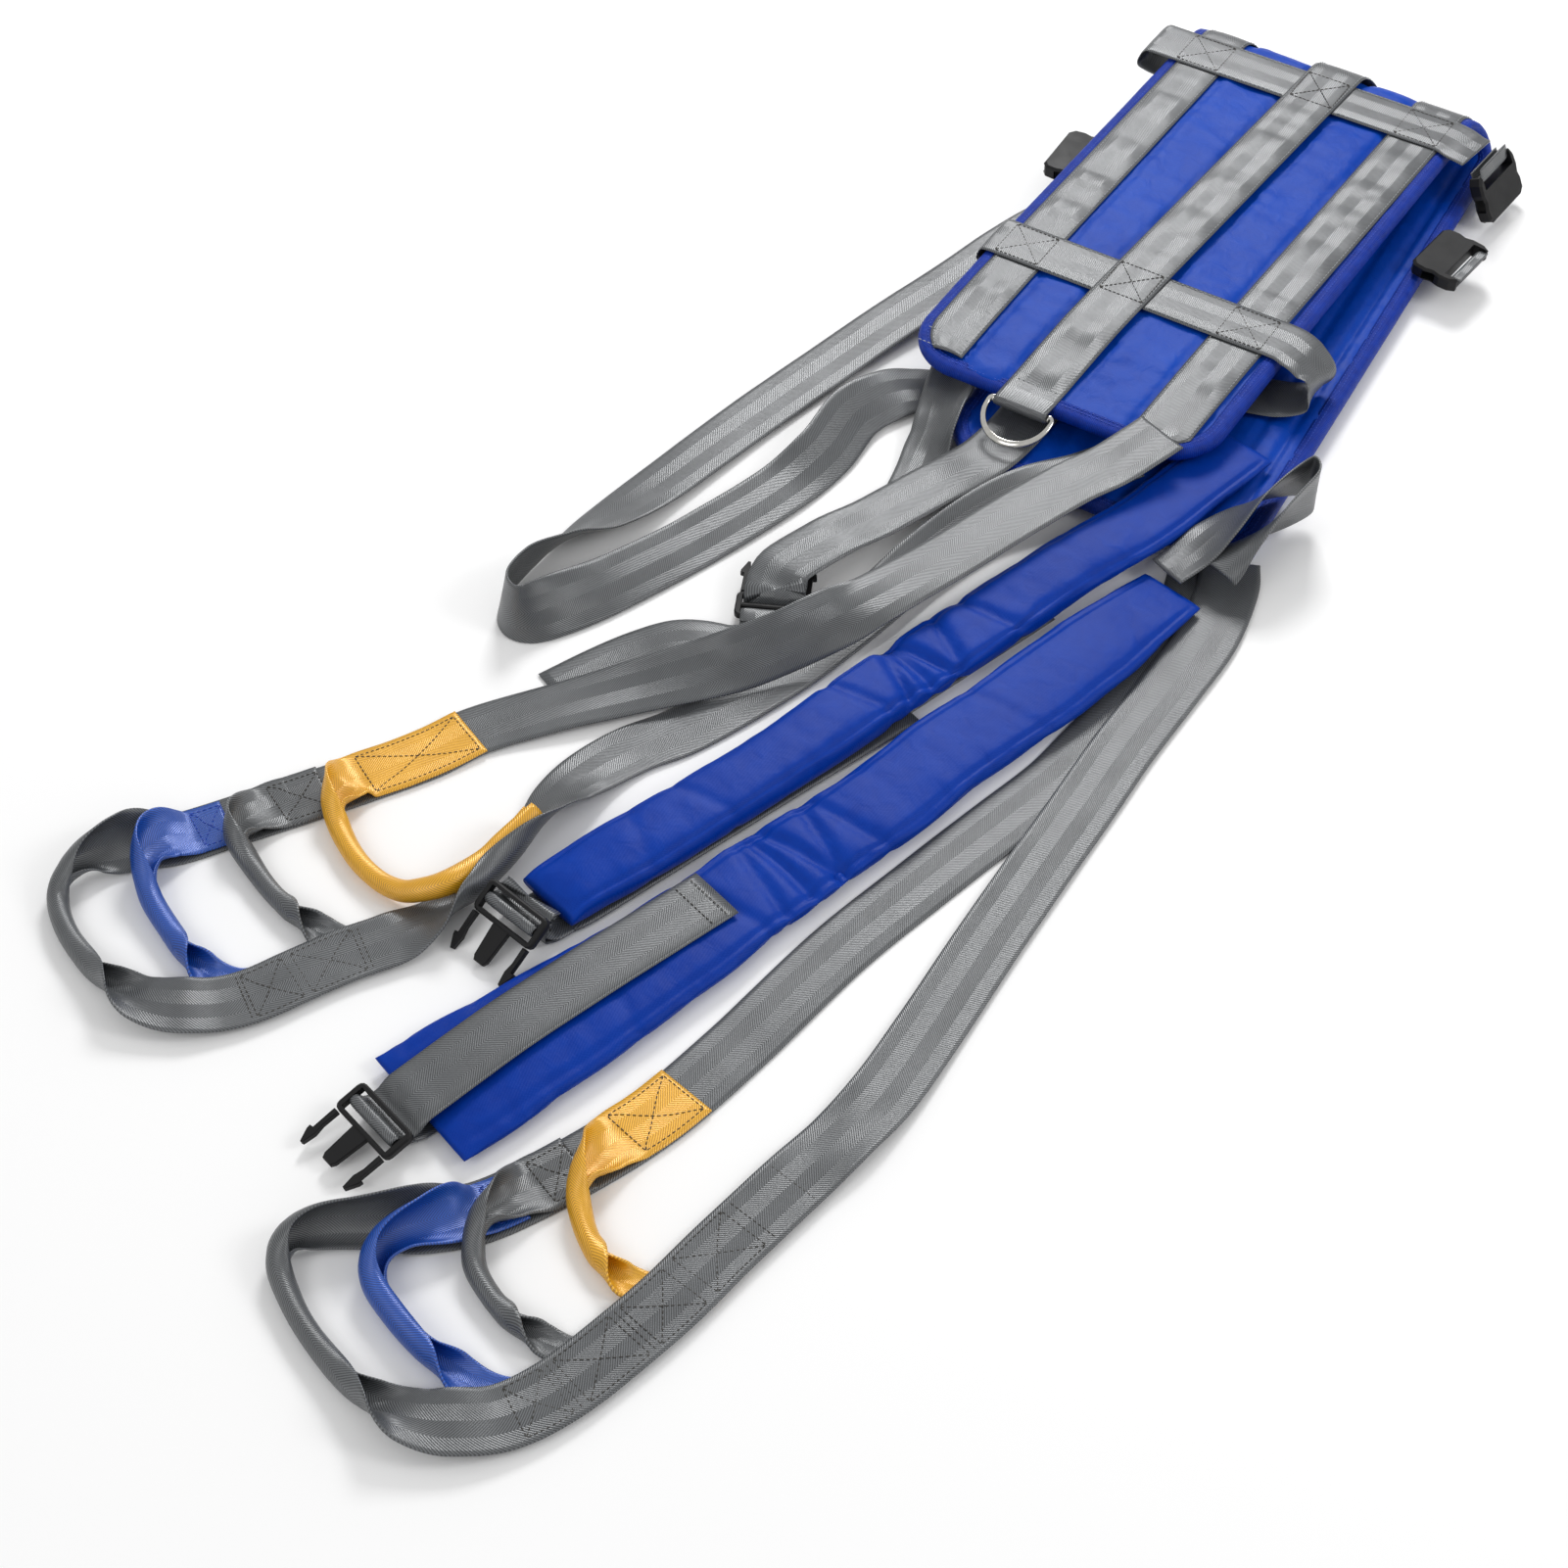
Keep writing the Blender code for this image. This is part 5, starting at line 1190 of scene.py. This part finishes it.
def close_threads(name, material):
    """One mesh of all grains of a thread: 18 side quads and two end caps each."""
    verts, faces, base = [], [], 0
    caps = [(5, 4, 3, 2, 1, 0), (18, 19, 20, 21, 22, 23)]
    for points, quads in THREADS[name]:
        for grain in points:
            verts.append(grain)
            faces += [tuple(base + k for k in q) for q in quads + caps]
            base += len(grain)
    mesh = bpy.data.meshes.new("stitches_" + name)
    mesh.from_pydata((np.concatenate(verts) + SHIFT).tolist(), [], faces)
    mesh.materials.append(material)
    mesh.shade_smooth()
    obj = bpy.data.objects.new(mesh.name, mesh)
    scene.collection.objects.link(obj)
    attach(outward(obj), "sling")
    print(mesh.name, len(faces), "faces")


def level_seam(a, b, thread, count):
    """Straight seam from a to b on a level surface."""
    seam(np.linspace(a, b, count), np.tile((0, 0, 1.0), (count, 1)), thread)


def on_strap(rows, place, u, lift=0.0002):
    """Points on top of a strap, `u` metres left of its middle, and the strap's upward direction."""
    mid, across, normal, _, thick, _ = lie(rows, np.atleast_1d(place))
    up = normal * np.where(normal[:, 2] < 0, -1, 1)[:, None]
    return mid + across * np.asarray(u)[:, None] + up * (thick + lift)[:, None], up


def strap_line(rows, a, b, ua, ub, thread):
    """Seam on a strap from place a, ua left of its middle, to place b and ub."""
    place = np.linspace(a, b, 24)
    line, up = on_strap(rows, place, np.linspace(ua, ub, 24))
    seam(line, up, thread)


def box_x(rows, a, b, half, thread):
    """Square of stitches with both diagonals between two places of a strap."""
    for ua, ub in ((-half, -half), (half, half), (-half, half), (half, -half)):
        strap_line(rows, a, b, ua, ub, thread)
    for end in (a, b):
        strap_line(rows, end, end + 1e-4, -half, half, thread)


def panel_line(place, s, layer, thread, lift=STITCH_LIFT):
    """Line of stitches at place(s) across the belt and layer(s) above its middle surface."""
    s = np.asarray(s, float)
    line = on_panel(place(s), s, layer(s) + lift)
    up = on_panel(place(s), s, layer(s) + lift + 0.001) - line
    seam(line, unit(up), thread)


def sewn_edges(place, layer, s0, s1):
    """Both edge seams of a webbing on the belt."""
    s = np.linspace(s0, s1, 400)
    limit = half_width(s) - 0.0090
    for side in (-1, 1):
        panel_line(lambda q: np.clip(place(q) + side * EDGE_SEAM, -limit, limit), s,
                   lambda q: layer(q) + WEB_T / 2, "grey")


def level_box(x0, x1, y0, y1, z, thread="dark"):
    """Box with diagonals on a level surface."""
    corners = [(x0, y0), (x1, y0), (x1, y1), (x0, y1)]
    lines = [(corners[k], corners[(k + 1) % 4]) for k in range(4)]
    lines += [(corners[0], corners[2]), (corners[1], corners[3])]
    for a, b in lines:
        level_seam((*a, z), (*b, z), thread, 12)


for place, layer, start in ((left_u, flat_layer, 0.012), (right_u, flat_layer, 0.014),
                            (middle_u, middle_layer, 0.012)):
    sewn_edges(place, layer, start, TOP_LEN + ARC_LEN if layer is middle_layer else PANEL_LEN - 0.012)
for s_end in (0.012, 0.030):
    for place, layer in ((left_u, flat_layer), (middle_u, middle_layer)):
        u = place(np.array([s_end]))[0] + np.linspace(-0.020, 0.020, 12)
        line = on_panel(u, np.full(12, s_end), layer(np.full(12, s_end)) + WEB_T / 2 + STITCH_LIFT)
        seam(line, np.tile((0, 0, 1.0), (12, 1)), "grey")
CROSS_TOP = ON_TOP + WEB_T / 2 + STITCH_LIFT
for y in CROSS_Y:
    s = y - TOP_END_Y
    centres = [LEFT_U + float(skew(s)), float(middle_u(s) + skew(s)), float(right_u(s) + skew(s))]
    for k, x in enumerate(centres):
        z = TOP_Z + LAYER[2] + WEB_T / 2 + 0.0004 if k == 1 else CROSS_TOP
        level_box(x - 0.021, x + 0.021, y - 0.021, y + 0.021, z)
    for side in (-1, 1):
        for x0, x1 in ((centres[0] + 0.024, centres[1] - 0.028), (centres[1] + 0.028, centres[2] - 0.024)):
            y_seam = y + side * 0.0222
            level_seam((x0, y_seam, CROSS_TOP), (x1, y_seam, CROSS_TOP), "grey", 20)

for inset in (0.0030, 0.0065):
    edge = outline(-inset)
    edge = np.vstack([edge, edge[:1]])
    for face, up_sign in ((0.0067, 1), (-0.0067, -1)):
        line = on_panel(edge[:, 0], edge[:, 1], face)
        up = on_panel(edge[:, 0], edge[:, 1], face + 0.001 * up_sign) - line
        seam(line, unit(up), "blue", pitch=0.0038, radius=0.00038)

for rows, a, b, half, thread in (
        (RUNG_L_YELLOW, 0.12, 2.88, 0.0205, "dark"), (RUNG_R_YELLOW, 0.12, 2.88, 0.0205, "dark"),
        (RUNG_L_GREY, 0.10, 2.85, 0.0195, "dark"), (RUNG_R_GREY, 0.10, 2.85, 0.0195, "dark"),
        (RUNG_L_BLUE, 0.10, 2.85, 0.0175, "blue"), (RUNG_R_BLUE, 0.10, 2.85, 0.0165, "blue"),
        (HANG_LEFT, 28.75, 29.9, 0.0205, "dark"), (HANG_LEFT, 30.1, 31.3, 0.0205, "dark"),
        (HANG_RIGHT, 26.2, 27.0, 0.0205, "dark"), (HANG_RIGHT, 27.25, 28.3, 0.0205, "dark"),
        (HANG_RIGHT, 28.5, 29.3, 0.0205, "dark"), (HANG_RIGHT, 29.5, 30.3, 0.0205, "dark")):
    box_x(rows, a, b, half, thread)
for end in (28.62, 31.42):
    strap_line(HANG_LEFT, end, end + 1e-4, -0.021, 0.021, "dark")
for end in (27.12, 28.4, 30.42, 31.0):
    strap_line(HANG_RIGHT, end, end + 1e-4, -0.021, 0.021, "dark")
for back in (0.008, 0.022):
    middle = np.array((0.026, -0.135)) - back * np.array((0.305, 0.952))
    across = np.linspace(-0.022, 0.022, 12)[:, None] * np.array((0.952, -0.305))
    seam(np.column_stack([middle + across, np.full(12, 0.0243)]), np.tile((0, 0, 1.0), (12, 1)), "dark")
for name, material in (("grey", THREAD_GREY), ("dark", THREAD_DARK), ("blue", THREAD_BLUE)):
    close_threads(name, material)

# %% [markdown]
# ## Floor and sizes
# Webbing is a sheet that lies flat when laid out, 50 mm wide, with the length of its course. The floor is a plain
# pale sheet, and the sizes of the CAD parts and of the whole scene are printed.

floor_mat, _, floor_shader = new_material("studio_floor", Roughness=0.75)
floor_shader.inputs["Base Color"].default_value = linear("#FAFAFA")
floor_mesh = bpy.data.meshes.new("floor")
floor_mesh.from_pydata([(-6, -6, 0), (6, -6, 0), (6, 6, 0), (-6, 6, 0)], [], [(0, 1, 2, 3)])
floor_mesh.materials.append(floor_mat)
floor = bpy.data.objects.new("floor", floor_mesh)
scene.collection.objects.link(floor)
floor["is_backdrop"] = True

low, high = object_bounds()
for title, box in (("CAD box", cad_box[1] - cad_box[0]), ("visual box", high - low)):
    print(title, [round(v * 1000, 1) for v in box], "mm")
